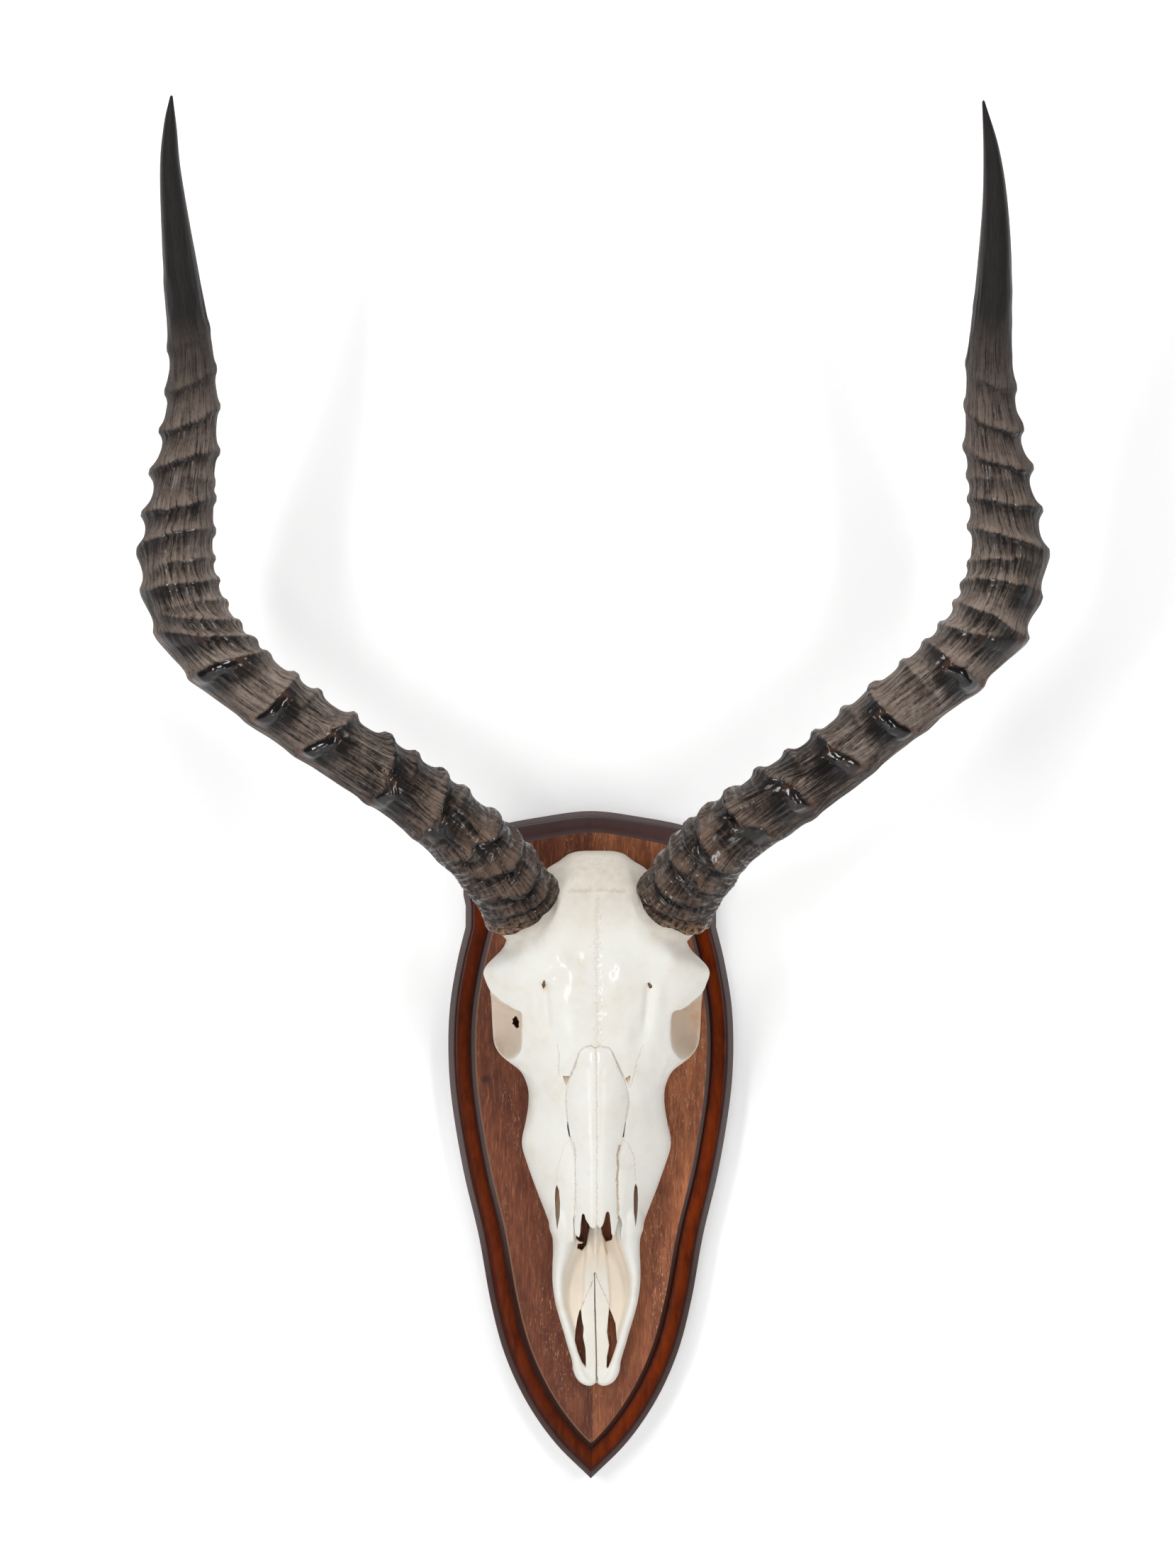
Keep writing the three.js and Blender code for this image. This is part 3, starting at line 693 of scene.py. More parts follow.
class HornLine:
    def __init__(self, rows, inner):
        dense = throughRows(rows, 60)
        places = np.stack([dense[:, 0], -dense[:, 1], dense[:, 2]], 1)
        run = np.r_[0, np.cumsum(np.linalg.norm(np.diff(places, axis=0), axis=1))]
        self.length = run[-1]
        self.run = np.arange(0, self.length, 0.4)
        self.place = np.stack([np.interp(self.run, run, places[:, i]) for i in range(3)], 1)
        self.half = np.interp(self.run, run, dense[:, 3])
        along = np.gradient(self.place, axis=0)
        self.along = along / np.linalg.norm(along, axis=1)[:, None]
        viewer = np.array([0, -1.0, 0])
        front = viewer - self.along * (self.along @ viewer)[:, None]
        self.front = front / np.linalg.norm(front, axis=1)[:, None]
        self.side = np.cross(self.along, self.front) * inner

    def at(self, run, what):
        return np.stack([np.interp(run, self.run, what[:, i]) for i in range(3)], 1)


# How far along the horn each point is, and its turn round the horn: 0 in front, positive on the inner side
def readHorn(line, points):
    near = np.empty(len(points), int)
    for start in range(0, len(points), 4000):
        part = points[start:start + 4000]
        gap = ((part[:, None, :] - line.place[None, ::4, :]) ** 2).sum(2)
        near[start:start + 4000] = gap.argmin(1) * 4
    off = points - line.place[near]
    run = line.run[near] + (off * line.along[near]).sum(1)
    off = points - line.at(run, line.place)
    turn = np.arctan2((off * line.at(run, line.side)).sum(1), (off * line.at(run, line.front)).sum(1))
    return np.clip(run, 0, line.length), turn


# Height of the ridges over the horn, how far their crests lean over, and where each mark lies: dark keratin
# and painted shade under each crest, dust and a painted lit band on each crest's tip side, glossy crests,
# knobs and their amber ends
def ridgeShape(run, turn, spec):
    total, lip, dark, dustAndLitBand, crest, knobs, amber = (np.zeros(len(run)) for _ in range(7))
    inner, front = np.sin(turn), np.cos(turn)
    inSide, outSide = ease(inner, 0.55, 0.94), ease(-inner, 0.5, 0.95)
    facing = 1 - inSide - outSide
    degrees = np.degrees(turn)
    circle = np.linspace(-math.pi, math.pi, 361)
    fall = lambda gap, foot, power=2: np.exp(-(np.abs(gap / foot) ** power))
    for number, (outer, mid, inside, riseOut, riseMid, riseIn, lean, knob) in enumerate(spec["ridges"]):
        swing = np.column_stack([np.cos(circle) * 3, np.sin(circle) * 3, np.full(361, number * 7.3)])
        even = (outer + inside) / 2
        low = even < 130
        rough = (softNoise(swing, 1.0, spec["seed"]) - 0.5) * (3 if low else 2)
        rough += (softNoise(swing, 0.3, spec["seed"]) - 0.5) * low
        gap = run - (even + (mid - even) * front + (inside - outer) / 2 * inner)
        gap += np.interp(turn, circle, rough) * (facing + 0.3)
        near = np.abs(gap) < 26
        toSide = np.where(inner > 0, riseIn, riseOut)
        toFace = np.where(front > 0, riseMid, 0.35 * (riseOut + riseIn))
        rise = toSide + (toFace - toSide) * np.abs(front) ** 1.6
        tipFoot = np.interp(lean, [-1, -0.5, 0, 1], [11, 8, 4, 2.6]) * facing + 2.3 * inSide
        tipFoot += np.interp(lean, [-1, 0, 1], [5.5, 4, 3]) * outSide
        baseFoot = np.interp(lean, [-1, 0, 1], [1.4, 4.5, 9]) * facing + 2.5 * inSide
        baseFoot += np.interp(lean, [-1, 0, 1], [2.6, 4, 10]) * outSide
        past = np.maximum(np.abs(gap) - 0.4 * facing - 1.3 * inSide - 1.3 * outSide, 0)
        fold = rise * near * fall(past, np.where(gap > 0, tipFoot, baseFoot), 1.3 + 0.3 * facing)
        total += fold
        strength = np.clip(rise / 2.4, 0, 1.1) * near
        sharp = strength * facing * np.interp(lean, [-1, -0.4, 0.2, 1], [1, 0.6, 0.25, 0.35])
        total -= 0.9 * sharp * fall(gap + 3, 1.2)
        lip += 1.1 * sharp * fall(gap, 1.6)
        crest += strength * (facing + 0.3 * inSide) * fall(gap + 0.3, 0.9)
        # Black keratin with painted shade just below each crest, fading over the base-side slope
        reach = np.interp(lean, [-1, 0, 1], [5, 7, 9])
        foot = np.where(gap > -0.9, 0.9, reach)
        dark += strength * (facing + 0.5 * outSide + 0.3 * inSide) * fall(gap + 0.9, foot)
        # Dust with a painted lit band on the up-facing tip side of each crest
        reach = np.interp(lean, [-1, 0, 1], [6, 3.5, 3.5])
        dustAndLitBand += strength * (facing + 0.4 * inSide) * fall(gap - 1, np.where(gap < 1, 0.8, reach))
        if knob:
            turned, spread, high = knob
            swing = np.column_stack([np.degrees(circle) / 12, np.full(361, number), np.zeros(361)])
            lump = np.interp(turn, circle, 0.8 + 0.4 * softNoise(swing, 1.0, spec["seed"] + 5))
            taper = np.interp(degrees, [turned - spread, turned + spread], [1.15, 0.6])
            bar = fall(degrees - turned, spread, 3.5)
            bead = np.clip(1 - ((gap + 3.4) / (4.9 * taper)) ** 2, 0, 1) ** 0.8
            total += bar * (1.05 * high * bead * lump * taper - 0.8 * fold + 0.9 * sharp * fall(gap + 3, 1.2))
            lip -= 1.1 * sharp * fall(gap, 1.6) * bar
            share = min(high / 2, 1)
            knobs += share * ease(bar * bead, 0.2, 0.55)
            # Black keratin with painted shade on the knob's base side
            dark += share * fall(degrees - turned, spread * 1.15, 4) * fall(gap + 9, 7.5)
            ends = ease(bar, 0.02, 0.3) * (1 - ease(bar, 0.45, 0.85)) * np.where(degrees < turned, 1, 0.5)
            amber += share * ends * fall(gap + 1.8, 4)
    return total, lip, [np.clip(values, 0, 1) for values in (dark, dustAndLitBand, crest, knobs, amber)]


# A map for the strands: x along the horn in metres, y once round it, and no face across its seam
def mapFibres(horn, run, turn, bend):
    layer = horn.data.uv_layers.new(name="fibreMap")
    corner = np.empty(len(horn.data.loops), np.int32)
    horn.data.loops.foreach_get("vertex_index", corner)
    turns = (turn / (2 * math.pi))[corner]
    starts = np.empty(len(horn.data.polygons), np.int32)
    counts = np.empty(len(horn.data.polygons), np.int32)
    horn.data.polygons.foreach_get("loop_start", starts)
    horn.data.polygons.foreach_get("loop_total", counts)
    owner = np.repeat(np.arange(len(starts)), counts)
    highest = np.full(len(starts), -9.0)
    np.maximum.at(highest, owner, turns)
    turns = np.where(highest[owner] - turns > 0.5, turns + 1, turns)
    flat = np.stack([run[corner] * mm, turns + bend[corner]], 1)
    layer.data.foreach_set("uv", flat.ravel().astype(np.float32))

def makeHorn(name):
    spec = horns[name]
    line = HornLine(spec["line"], -np.sign(spec["line"][0][0]))
    ridgedStep, smoothStep = horns["rowSteps"]
    ridged = np.arange(0, horns["smoothFrom"], ridgedStep)
    smooth = np.arange(horns["smoothFrom"], line.length, smoothStep)
    stations = np.r_[ridged, smooth, line.length]
    curve = bpy.data.curves.new("hornBlank", "CURVE")
    curve.dimensions = "3D"
    curve.bevel_depth = 1
    curve.bevel_resolution = 28
    curve.use_fill_caps = True
    spline = curve.splines.new("POLY")
    spline.points.add(len(stations) - 1)
    halves = np.interp(stations, line.run, line.half)
    for point, place, half in zip(spline.points, line.at(stations, line.place), halves):
        point.co = (*(place * mm), 1)
        point.radius = half * mm
    blank = bpy.data.objects.new("hornBlank", curve)
    bpy.context.scene.collection.objects.link(blank)
    take(blank)
    bpy.ops.object.convert(target="MESH")
    horn = added("horn_%s_sheath" % name)
    bpy.ops.object.mode_set(mode="EDIT")
    bpy.ops.mesh.select_all(action="SELECT")
    bpy.ops.mesh.remove_doubles(threshold=0.00001)
    bpy.ops.mesh.normals_make_consistent(inside=False)
    bpy.ops.object.mode_set(mode="OBJECT")
    finishWith(horn, "SUBSURF", levels=1, render_levels=1)

    points = pointsOf(horn) / mm
    run, turn = readHorn(line, points)
    off = points - line.at(run, line.place)
    capped = np.linalg.norm(off, axis=1) < 0.9 * np.interp(run, line.run, line.half)
    total, lip, marks = ridgeShape(run, turn, spec)
    slant = (ridgeShape(run, turn + 0.05, spec)[0] - ridgeShape(run, turn - 0.05, spec)[0]) / 0.1
    half = np.interp(run, line.run, line.half)
    wrapped = lambda along, size: np.stack([along, np.cos(turn) * size, np.sin(turn) * size], 1)
    around = wrapped(run / 9, 3)
    seed = spec["seed"]
    fade = 1 - ease(run, 395, 470)
    lumps = (softNoise(around, 1.0, seed) - 0.5) * 0.9 * fade
    lines = (softNoise(wrapped(run / 30, 9), 1.0, seed + 1) - 0.5) * 0.6 * (0.25 + 0.75 * fade)
    low = 1 - ease(run, 24, 62)
    wrinkles = np.sin(run * 1.9 + 7 * softNoise(around, 1.6, seed + 2)) * 0.3 * low
    rimWave = softNoise(wrapped(turn * 0, 2.6), 1.0, seed + 4) - 0.5
    crumple = (softNoise(wrapped(run / 2.6, 6), 1.0, seed + 6) - 0.5) * 1.5 * (1 - ease(run, 5, 12))
    burr = horns["burr"] * hump(run, 1.5, 4.5) * (0.8 + 0.9 * rimWave) - 0.8 * (1 - ease(run, 0, 1.4))
    radius = half + total * fade + lumps + lines + wrinkles + crumple + burr
    radius = np.where(capped, np.minimum(np.linalg.norm(off, axis=1), radius), radius)
    shifted = run - lip * fade + (rimWave * 5 + 0.4) * hump(run, 0, 9)
    spot = line.at(shifted, line.place) - line.along[0] * np.clip(-shifted, 0, None)[:, None]
    spot += line.at(run, line.front) * (radius * horns["deeper"] * np.cos(turn))[:, None]
    spot += line.at(run, line.side) * (radius * np.sin(turn))[:, None]
    movePoints(horn, spot * mm)

    addAttribute(horn, "along", run / line.length)
    for mark, values in zip(("dark", "dustAndLitBand", "crest", "knob", "amber"), marks):
        addAttribute(horn, mark, values * fade)
    addAttribute(horn, "inward", np.sin(turn))
    bend = np.clip(slant / half, -0.25, 0.25) * ease(np.abs(np.sin(turn / 2)), 1, 0.9)
    mapFibres(horn, run, turn, bend * 0.05)
    smoothShade(horn)
    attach(horn, "root")
    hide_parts("horn_" + name)
    print("horn", name, "has", len(horn.data.polygons), "faces")
    return horn


def hornPaint():
    paint = Paint("hornKeratin")
    uv = paint.add("UVMap", uv_map="fibreMap")
    crossed = lambda along, around: paint.add("Mapping", Vector=uv, Scale=(along, around, 1))
    along, inward = paint.read("along"), paint.read("inward")
    lowShare = paint.between(along, 0.22, 0.08)
    tipShare = paint.between(along, 0.66, 0.78)
    narrow, wide = paint.noise(crossed(90, 560), 1.0, 4, 0.7), paint.noise(crossed(60, 380), 1.0, 4, 0.7)
    threads = paint.add("Mix", i0=paint.between(along, 0.2, 0.55), i2=narrow, i3=wide)
    strands = paint.noise(crossed(40, 60), 1.0, 3, 0.6)
    rings = paint.noise(crossed(420, 14), 1.0, 3, 0.6)
    patches = paint.noise(paint.place(), 60, 4, 0.65)
    small = paint.noise(paint.place(), 420, 4, 0.65)
    dark, dustAndLitBand, knob, crest = (paint.read(mark) for mark in ("dark", "dustAndLitBand", "knob", "crest"))
    outerSideShade = paint.between(inward, -0.35, -0.9)

    # Pale dusty keratin over dark strands
    powder = paint.mix(paint.between(patches, 0.35, 0.65), shade(132, 116, 105), shade(172, 155, 142))
    powder = paint.mix(paint.between(along, 0.46, 0.56, 0.0, 0.65), powder, shade(100, 87, 81))
    # Paler dust and a painted lit band on each crest's tip side
    powder = paint.mix(paint.times(dustAndLitBand, 0.55), powder, shade(158, 141, 127))
    powder = paint.mix(paint.times(lowShare, 0.85), powder, shade(122, 96, 79))
    deep = paint.mix(paint.between(strands, 0.4, 0.6), shade(15, 10, 9), shade(44, 31, 25))
    level = paint.sum("MULTIPLY_ADD", dark, 0.14, paint.between(along, 0.2, 0.34, 0.565, 0.46))
    level = paint.sum("MULTIPLY_ADD", dustAndLitBand, paint.between(lowShare, 0, 1, -0.05, -0.12), level)
    level = paint.sum("MULTIPLY_ADD", strands, -0.5, paint.plus(level, 0.25))
    level = paint.sum("MULTIPLY_ADD", small, -0.25, paint.plus(level, 0.125))
    tone = paint.mix(paint.between(paint.less(threads, level), -0.09, 0.1), deep, powder)
    # Painted shade on the horn's outer side, stronger near the base
    tone = paint.mix(paint.times(outerSideShade, paint.between(lowShare, 0, 1, 0.3, 0.5)), tone, shade(52, 42, 37))
    # Painted shade, over black keratin, below each crest
    tone = paint.mix(paint.times(dark, 0.8), tone, shade(13, 8, 8))
    resin = paint.mix(small, shade(78, 44, 30), shade(140, 92, 62))
    tone = paint.mix(paint.times(paint.read("amber"), 0.75), tone, resin)
    black = paint.mix(paint.between(patches, 0.45, 0.7), shade(12, 9, 9), shade(44, 29, 23))
    tone = paint.mix(knob, tone, black)
    tip = paint.mix(paint.between(threads, 0.4, 0.62), shade(16, 13, 13), shade(44, 39, 38))
    tone = paint.mix(tipShare, tone, tip)
    scales = paint.times(lowShare, paint.between(rings, 0.52, 0.62, 0.0, 0.35))
    tone = paint.mix(scales, tone, shade(118, 104, 94))
    rim = paint.times(paint.between(along, 0.004, 0.02, 1.0, 0.0), paint.between(small, 0.42, 0.56))
    rim = paint.times(rim, paint.between(inward, 0.1, -0.5, 0.12, 1.0))
    crust = paint.mix(paint.between(threads, 0.4, 0.6), shade(128, 76, 44), shade(196, 160, 118))
    tone = paint.mix(rim, tone, crust)
    paint.set(Base_Color=tone)

    # Where it is rubbed smooth or wet with varnish, then its relief
    polish = paint.most(paint.times(dark, 0.6), paint.most(knob, paint.times(tipShare, 0.6)))
    polish = paint.most(polish, paint.times(paint.between(patches, 0.5, 0.7), 0.5))
    polish = paint.most(polish, paint.times(lowShare, paint.between(small, 0.5, 0.6, 0.3, 0.9)))
    beads = paint.times(crest, paint.between(paint.noise(crossed(160, 40), 1.0, 2), 0.42, 0.55))
    beads = paint.most(beads, paint.times(lowShare, paint.between(rings, 0.5, 0.6, 0.0, 0.8)))
    polish = paint.most(polish, beads)
    streaks = paint.times(dark, paint.between(strands, 0.42, 0.56))
    paint.set(Roughness=paint.between(polish, 0.0, 1.0, 0.6, 0.2), Specular_IOR_Level=0.2)
    wet = paint.most(knob, paint.times(beads, 0.9))
    paint.set(Coat_Weight=paint.most(wet, paint.times(streaks, 0.7)), Coat_Roughness=0.14)
    height = paint.plus(threads, paint.times(strands, paint.between(dark, 0, 1, 0.5, 1.3)))
    height = paint.plus(height, paint.times(paint.plus(rings, small), paint.times(lowShare, 0.7)))
    strength = paint.times(paint.between(along, 0.66, 0.8, 0.9, 0.2), paint.between(knob, 0, 1, 1.0, 0.05))
    paint.set(Normal=paint.bump(height, strength, 0.0009))
    return paint.material


# Hardware behind

def makeHardware():
    steel = metalPaint("zincSteel", (0.55, 0.55, 0.53, 1), 0.32)
    brass = metalPaint("dullBrass", (0.62, 0.42, 0.16, 1), 0.3)
    for name, (x, z) in skullScrews.items():
        screw = wholeScrew("skull_screw_%s_body" % name, x, z, skullScrew)
        dress(screw, steel, "skull_screw_" + name)
    h = hanger
    outline = boxOutline(-h["width"] / 2, h["width"] / 2, h["z"] - h["height"] / 2, h["z"] + h["height"] / 2)
    hangerPiece = plate("hanger_plate_body", outline, h["sunk"], h["thickness"])
    finishWith(hangerPiece, "BEVEL", width=h["bevel"] * mm, segments=3, limit_method="ANGLE")
    past = 4  # the key's cuts run this deep, past the plate
    slot = boxOutline(-h["slot"], h["slot"], h["z"] - h["roundBelow"], h["z"] + h["slotUp"])
    cut(hangerPiece, plate("keySlot", slot, -1, past))
    cut(hangerPiece, screwBody("keyRound", 0, h["z"] - h["roundBelow"], h["round"], 1, h["round"], past, -1))
    s = hangerScrew
    for side in (-1, 1):
        hole = screwBody("headHole", side * h["screwX"], h["z"], s["head"] + play, s["headHeight"] + play,
                         s["shank"] + play, 6, -1)
        cut(hangerPiece, hole)
    dress(hangerPiece, brass, "hanger_plate")
    for side, name in ((-1, "left"), (1, "right")):
        screw = wholeScrew("hanger_screw_%s_body" % name, side * h["screwX"], h["z"], hangerScrew)
        dress(screw, brass, "hanger_screw_" + name)
    print("hanger and screws are in")


# A screw with a cross cut into its head
def wholeScrew(name, x, z, s):
    screw = screwBody(name, x, z, s["head"], s["headHeight"], s["shank"], s["length"], s["sunk"])
    long, narrow, deep = s["head"] * 0.62, 0.45, s["sunk"] + 1.1
    for wide, high in ((narrow, long), (long, narrow)):
        cut(screw, plate("driveCut", boxOutline(x - wide, x + wide, z - high, z + high), -1, deep))
    return screw


def metalPaint(name, tone, rough):
    paint = Paint(name)
    scratches = paint.noise(paint.place((1, 1, 6)), 900, 3)
    stains = paint.noise(paint.place(), 220, 3)
    dull = (*(v * 0.5 for v in tone[:3]), 1)
    paint.set(Base_Color=paint.mix(paint.between(stains, 0.45, 0.75, 0, 0.5), tone, dull))
    paint.set(Metallic=1.0, Roughness=paint.between(scratches, 0.2, 0.8, rough - 0.08, rough + 0.2))
    paint.set(Normal=paint.bump(scratches, 0.15, 0.0002))
    return paint.material


def dress(piece, material, node):
    piece.data.materials.clear()
    piece.data.materials.append(material)
    smoothShade(piece, 30)
    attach(piece, "root")
    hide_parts(node)


# Skull

skull = {
    "x": 3.1,  # its middle line stands a little right of the shield's
    "back": 22.3,
    # z, then x and height over the sawn face from the middle line outwards
    "rows": [
        (165.3, (0, 18), (2, 18), (3.6, 17.5), (5, 16.5), (6, 14), (6.4, 9)),
        (164.8, (0, 27), (4, 27), (7.6, 26), (10, 22.5), (11, 18), (11.3, 11)),
        (163.4, (0, 37), (6, 36.8), (10.6, 34.5), (13.8, 29.5), (15.2, 22), (15.6, 13)),
        (161.5, (0, 42.3), (8, 42), (13, 39.5), (16.4, 33.5), (17.9, 26), (18.3, 15)),
        (159.2, (0, 46.3), (9, 45.9), (15, 43.2), (19, 37.5), (20.8, 29), (21.3, 17)),
        (155.5, (0, 50), (10, 49.5), (18, 46.7), (23.8, 40), (26.6, 30.5), (27.3, 18)),
        (149, (0, 54.5), (12, 54), (22, 51), (29, 43), (32.6, 32), (33.2, 18)),
        (140, (0, 58.5), (14, 58), (26, 55.5), (34.5, 48), (39, 36), (40, 20)),
        (128, (0, 61.3), (16, 61), (29, 59.5), (39, 54), (45.5, 43), (47, 24)),
        (118, (0, 62), (18, 61.8), (32, 60.2), (41.5, 56), (48, 46), (49.6, 27)),
        (112, (0, 62), (18.5, 61.7), (32.5, 60), (42.5, 56), (48.2, 47), (50.3, 31)),
        (107.5, (0, 61.8), (19, 61.4), (33, 59.6), (44, 55.8), (53.2, 48.5), (55.8, 37)),
        (103.8, (0, 61.5), (20, 61), (34, 59.2), (46, 55.4), (57, 49), (59.7, 40)),
        (101.3, (0, 61.3), (20, 60.8), (34, 58.9), (47.2, 55), (58.8, 49), (61.5, 41.5)),
        (98.6, (0, 61), (20, 60.4), (34, 58.4), (48, 54.2), (59.4, 48.6), (62.2, 41.5)),
        (95.4, (0, 60.6), (20, 60), (34, 57.8), (47, 53.7), (58, 48.2), (61.6, 41)),
        (91, (0, 60.1), (20, 59.4), (33, 57), (46, 53.2), (56.5, 48), (60, 40)),
        (80, (0, 58.8), (18, 58), (30, 55.6), (40, 52), (50, 47), (58.6, 38)),
        (66, (0, 56.6), (17, 55.7), (28, 52.8), (37, 49.2), (44, 45.6), (56, 36)),
        (57.3, (0, 55), (16, 53.9), (27, 50.6), (35, 46.8), (42, 43), (54, 33)),
        (51.5, (0, 53.4), (15.5, 52.1), (26, 48.8), (34, 45), (41, 41), (50.5, 29)),
        (47.4, (0, 52.2), (15.2, 50.7), (25, 47.5), (33, 43.3), (39.5, 39), (46.2, 26)),
        (42.4, (0, 50.6), (15, 48.8), (24, 45.8), (31.5, 41.2), (37, 36), (41.2, 23)),
        (33.4, (0, 48), (15, 46), (22.5, 43.2), (29.5, 38), (34.6, 31.5), (37.8, 19)),
        (24, (0, 45.4), (14.6, 43.4), (21.8, 40.4), (28.4, 35.2), (33.8, 28.4), (37.6, 17)),
        (14, (0, 42.6), (13.8, 41), (21.4, 37.4), (28.8, 32.2), (35.2, 25.6), (39.2, 15)),
        (2.3, (0, 39.4), (12.4, 38.2), (21, 34.2), (29.5, 28.8), (36.4, 22.4), (41.2, 13)),
        (-10, (0, 36.4), (12, 35.4), (20, 31.4), (27.5, 25.4), (33.6, 18.6), (38, 10.5)),
        (-25, (0, 33), (12, 32), (18.8, 27.8), (24.6, 21.6), (29.2, 15.2), (32.7, 8)),
        (-39.5, (0, 30), (12.4, 28.6), (17.4, 24.6), (21.6, 18.8), (24.6, 13), (27.2, 7)),
        (-51, (0, 27), (12.4, 25), (16.6, 20.4), (19.8, 15.4), (22, 10.6), (23.7, 6)),
    ],
    "foot": [6.4, 11.3, 15.6, 18.3, 21.3, 27.3, 33.2, 40, 47, 49.6, 51.6, 55, 57.4, 58.4, 58.8, 58.8, 58.8,
             58.6, 58.1,
             57.1, 53.9, 49.2, 41.9, 38.2, 37.8, 39.4, 41.4, 38.1, 33, 27.4, 23.9],
    "orbits": [
        [(-62.8, 98.2), (-61.8, 95.2), (-60, 91.4), (-57.4, 87.6), (-54.6, 84.9), (-51.5, 82.6),
         (-48.4, 80.7), (-45, 79.2), (-42.7, 78.2),
         (-41.1, 76.6), (-41.1, 70.2), (-41.3, 63.1), (-42.1, 56.5), (-44.2, 53.6), (-46.6, 51.2),
         (-49.6, 49.7),
         (-53, 51.4), (-57, 55), (-64, 60), (-72, 74), (-72, 92), (-68, 98)],
        [(63.8, 98.2), (62.8, 95.2), (61, 91.8), (58.6, 88.3), (55.4, 85), (51.5, 81.7), (48.4, 79.4),
         (46, 78.4), (42.5, 78),
         (41.2, 75.6), (40.9, 70.2), (40.8, 64.3), (42.3, 57.1), (44.4, 53.8), (46.8, 51), (49.8, 49.6),
         (53.4, 51.6), (57.4, 55), (64, 60), (72, 74), (72, 92), (69, 98)],
    ],
    "orbitMiddle": (62, 72),
    "orbitSteps": [
        (80, 1), (50, 1), (46, 1.01), (40, 1.03), (31, 1.03), (24, 1), (18, 0.93), (13.5, 0.84), (10, 0.73),
        (7.5, 0.59), (5.9, 0.43), (5, 0.26), (4.6, 0.08),
    ],
    "underBrow": {"at": (60, 27, 80), "size": (19, 14, 13)},
    "snout": [
        (-12, -38), (-11.9, -50), (-12.2, -54.8), (-14.2, -60), (-16.3, -65.6), (-18.3, -75.3), (-18.1, -85),
        (-16.3, -93.5), (-13.2, -103.1), (-11.9, -108.6), (-8.4, -120.4), (-5.9, -124), (0, -125),
        (6.1, -124),
        (8.6, -120.4), (11.8, -108.6), (13.1, -103.1), (16.2, -93.9), (18, -86.2), (18.6, -75.3),
        (17.4, -65.6),
        (15.4, -58), (12.8, -50), (11.4, -38),
    ],
    "snoutMiddle": (0, -82),
    "snoutSteps": [(60, 1.05), (16, 1.04), (12, 1.01), (9, 0.98), (7, 0.93), (5.7, 0.84), (5, 0.68),
                   (4.7, 0.4)],
    # hollow of the nose: z, half width, floor and roof height
    "hollow": [(-62, 10.5, 5, 44), (-50, 11.6, 5, 44), (-40, 11.8, 5, 40), (-34, 11.6, 5.2, 33),
               (-24, 10.5, 6.5, 28),
               (-12, 8, 9, 24), (-6, 3, 13, 19)],
    # side bars of the snout: x, z, half width, height of the crest
    "bar": [
        (17.6, -25, 3.6, 19), (18, -34, 7.6, 26), (18.1, -43, 8.4, 25.2), (17.8, -50.2, 6.9, 22.2),
        (19.1, -58.7, 5.3, 18.2),
        (20.4, -65.6, 4.2, 15.4), (21.2, -75.3, 3.4, 13.4), (20.3, -85, 3.1, 11.3), (18.2, -93.5, 3.1, 10.5),
        (15.3, -103.1, 3.1, 9.8), (13.7, -109, 3.1, 9.4), (10.6, -119, 3.2, 8.8), (9.4, -124.2, 3.8, 9),
        (7.3, -128.6, 3.6, 9.2), (4, -130.7, 3.1, 8.8), (1.9, -131.2, 2.2, 8), (0.6, -131.3, 0.8, 6.4),
    ],
    "strip": [
        (-3.6, -44), (-5.6, -56), (-6.4, -68.1), (-6.6, -80.2), (-8.3, -90.6), (-8.1, -96.2), (-7.1, -101.1),
        (-7.5, -105.9), (-6.2, -112), (-5.9, -118), (-5.9, -130), (5.7, -130), (5.7, -122.9), (5.9, -116.8),
        (7.1, -110.8), (5.9, -103.5), (6.5, -96.2), (7.1, -88.6), (7.1, -81.4), (5.9, -65.6), (4.9, -56),
        (3.2, -44),
    ],
    "stripHeights": [(-44, 9.5), (-60, 7.6), (-80, 6.9), (-110, 6.9), (-130, 7.2)],
    # vomer: z, half width and height
    "vomer": [(-34, 1.2, 17), (-40, 2.4, 17.5), (-46, 2.5, 15.5), (-54, 1.9, 12), (-62, 1.1, 9.6),
              (-70, 0.3, 7.6)],
    # pedicle: share of the way from its root to the horn's seat, radius
    "pedicle": [(0.42, 20), (0.7, 20.4), (1, 19.6), (1.08, 15), (1.1, 4)],
    "pedicleRoot": {"x": 21, "height": 34, "z": 118},
    # cut right through to the wood
    "through": {
        "fissureLeft": [(-8.7, -90.4), (-8.1, -96.2), (-7.1, -101.1), (-7.5, -105.9), (-6.2, -112),
                        (-5.9, -118),
                        (-5.9, -123.1), (-8.1, -120.5), (-10.5, -114.4), (-12.1, -108.4), (-11.7, -102.3),
                        (-10.7, -96.2), (-9.5, -91.4)],
        "fissureRight": [(6.7, -88.7), (8.9, -93.8), (10.7, -98.7), (11.3, -107.1), (11.7, -109),
                         (10.1, -114.4),
                         (8.3, -119.3), (6.5, -123.5), (5.6, -122.9), (5.9, -116.8), (7.1, -110.8),
                         (5.9, -103.5), (6.5, -96.2), (7.1, -90.2)],
        "floorLeft": [(-11, -36), (-11.1, -46), (-11.5, -50.9), (-9.7, -52.8), (-7.4, -53.3),
                      (-8.2, -53.9), (-10.4, -54.1),
                      (-10.8, -56.7), (-8, -57.9), (-5.6, -54.7), (-4.6, -49), (-3.5, -44), (-3.3, -36)],
        "floorRight": [(2.1, -36), (2.4, -44.5), (3.4, -49), (5.2, -52.9), (8.6, -52), (9.2, -48.7),
                       (9, -42), (8.8, -36)],
        "holeLeft": [(-45.4, 73.4), (-44.2, 73.1), (-43.7, 71.6), (-42.9, 70.6), (-43.3, 68.8),
                     (-42.8, 67.6), (-44.1, 66.5),
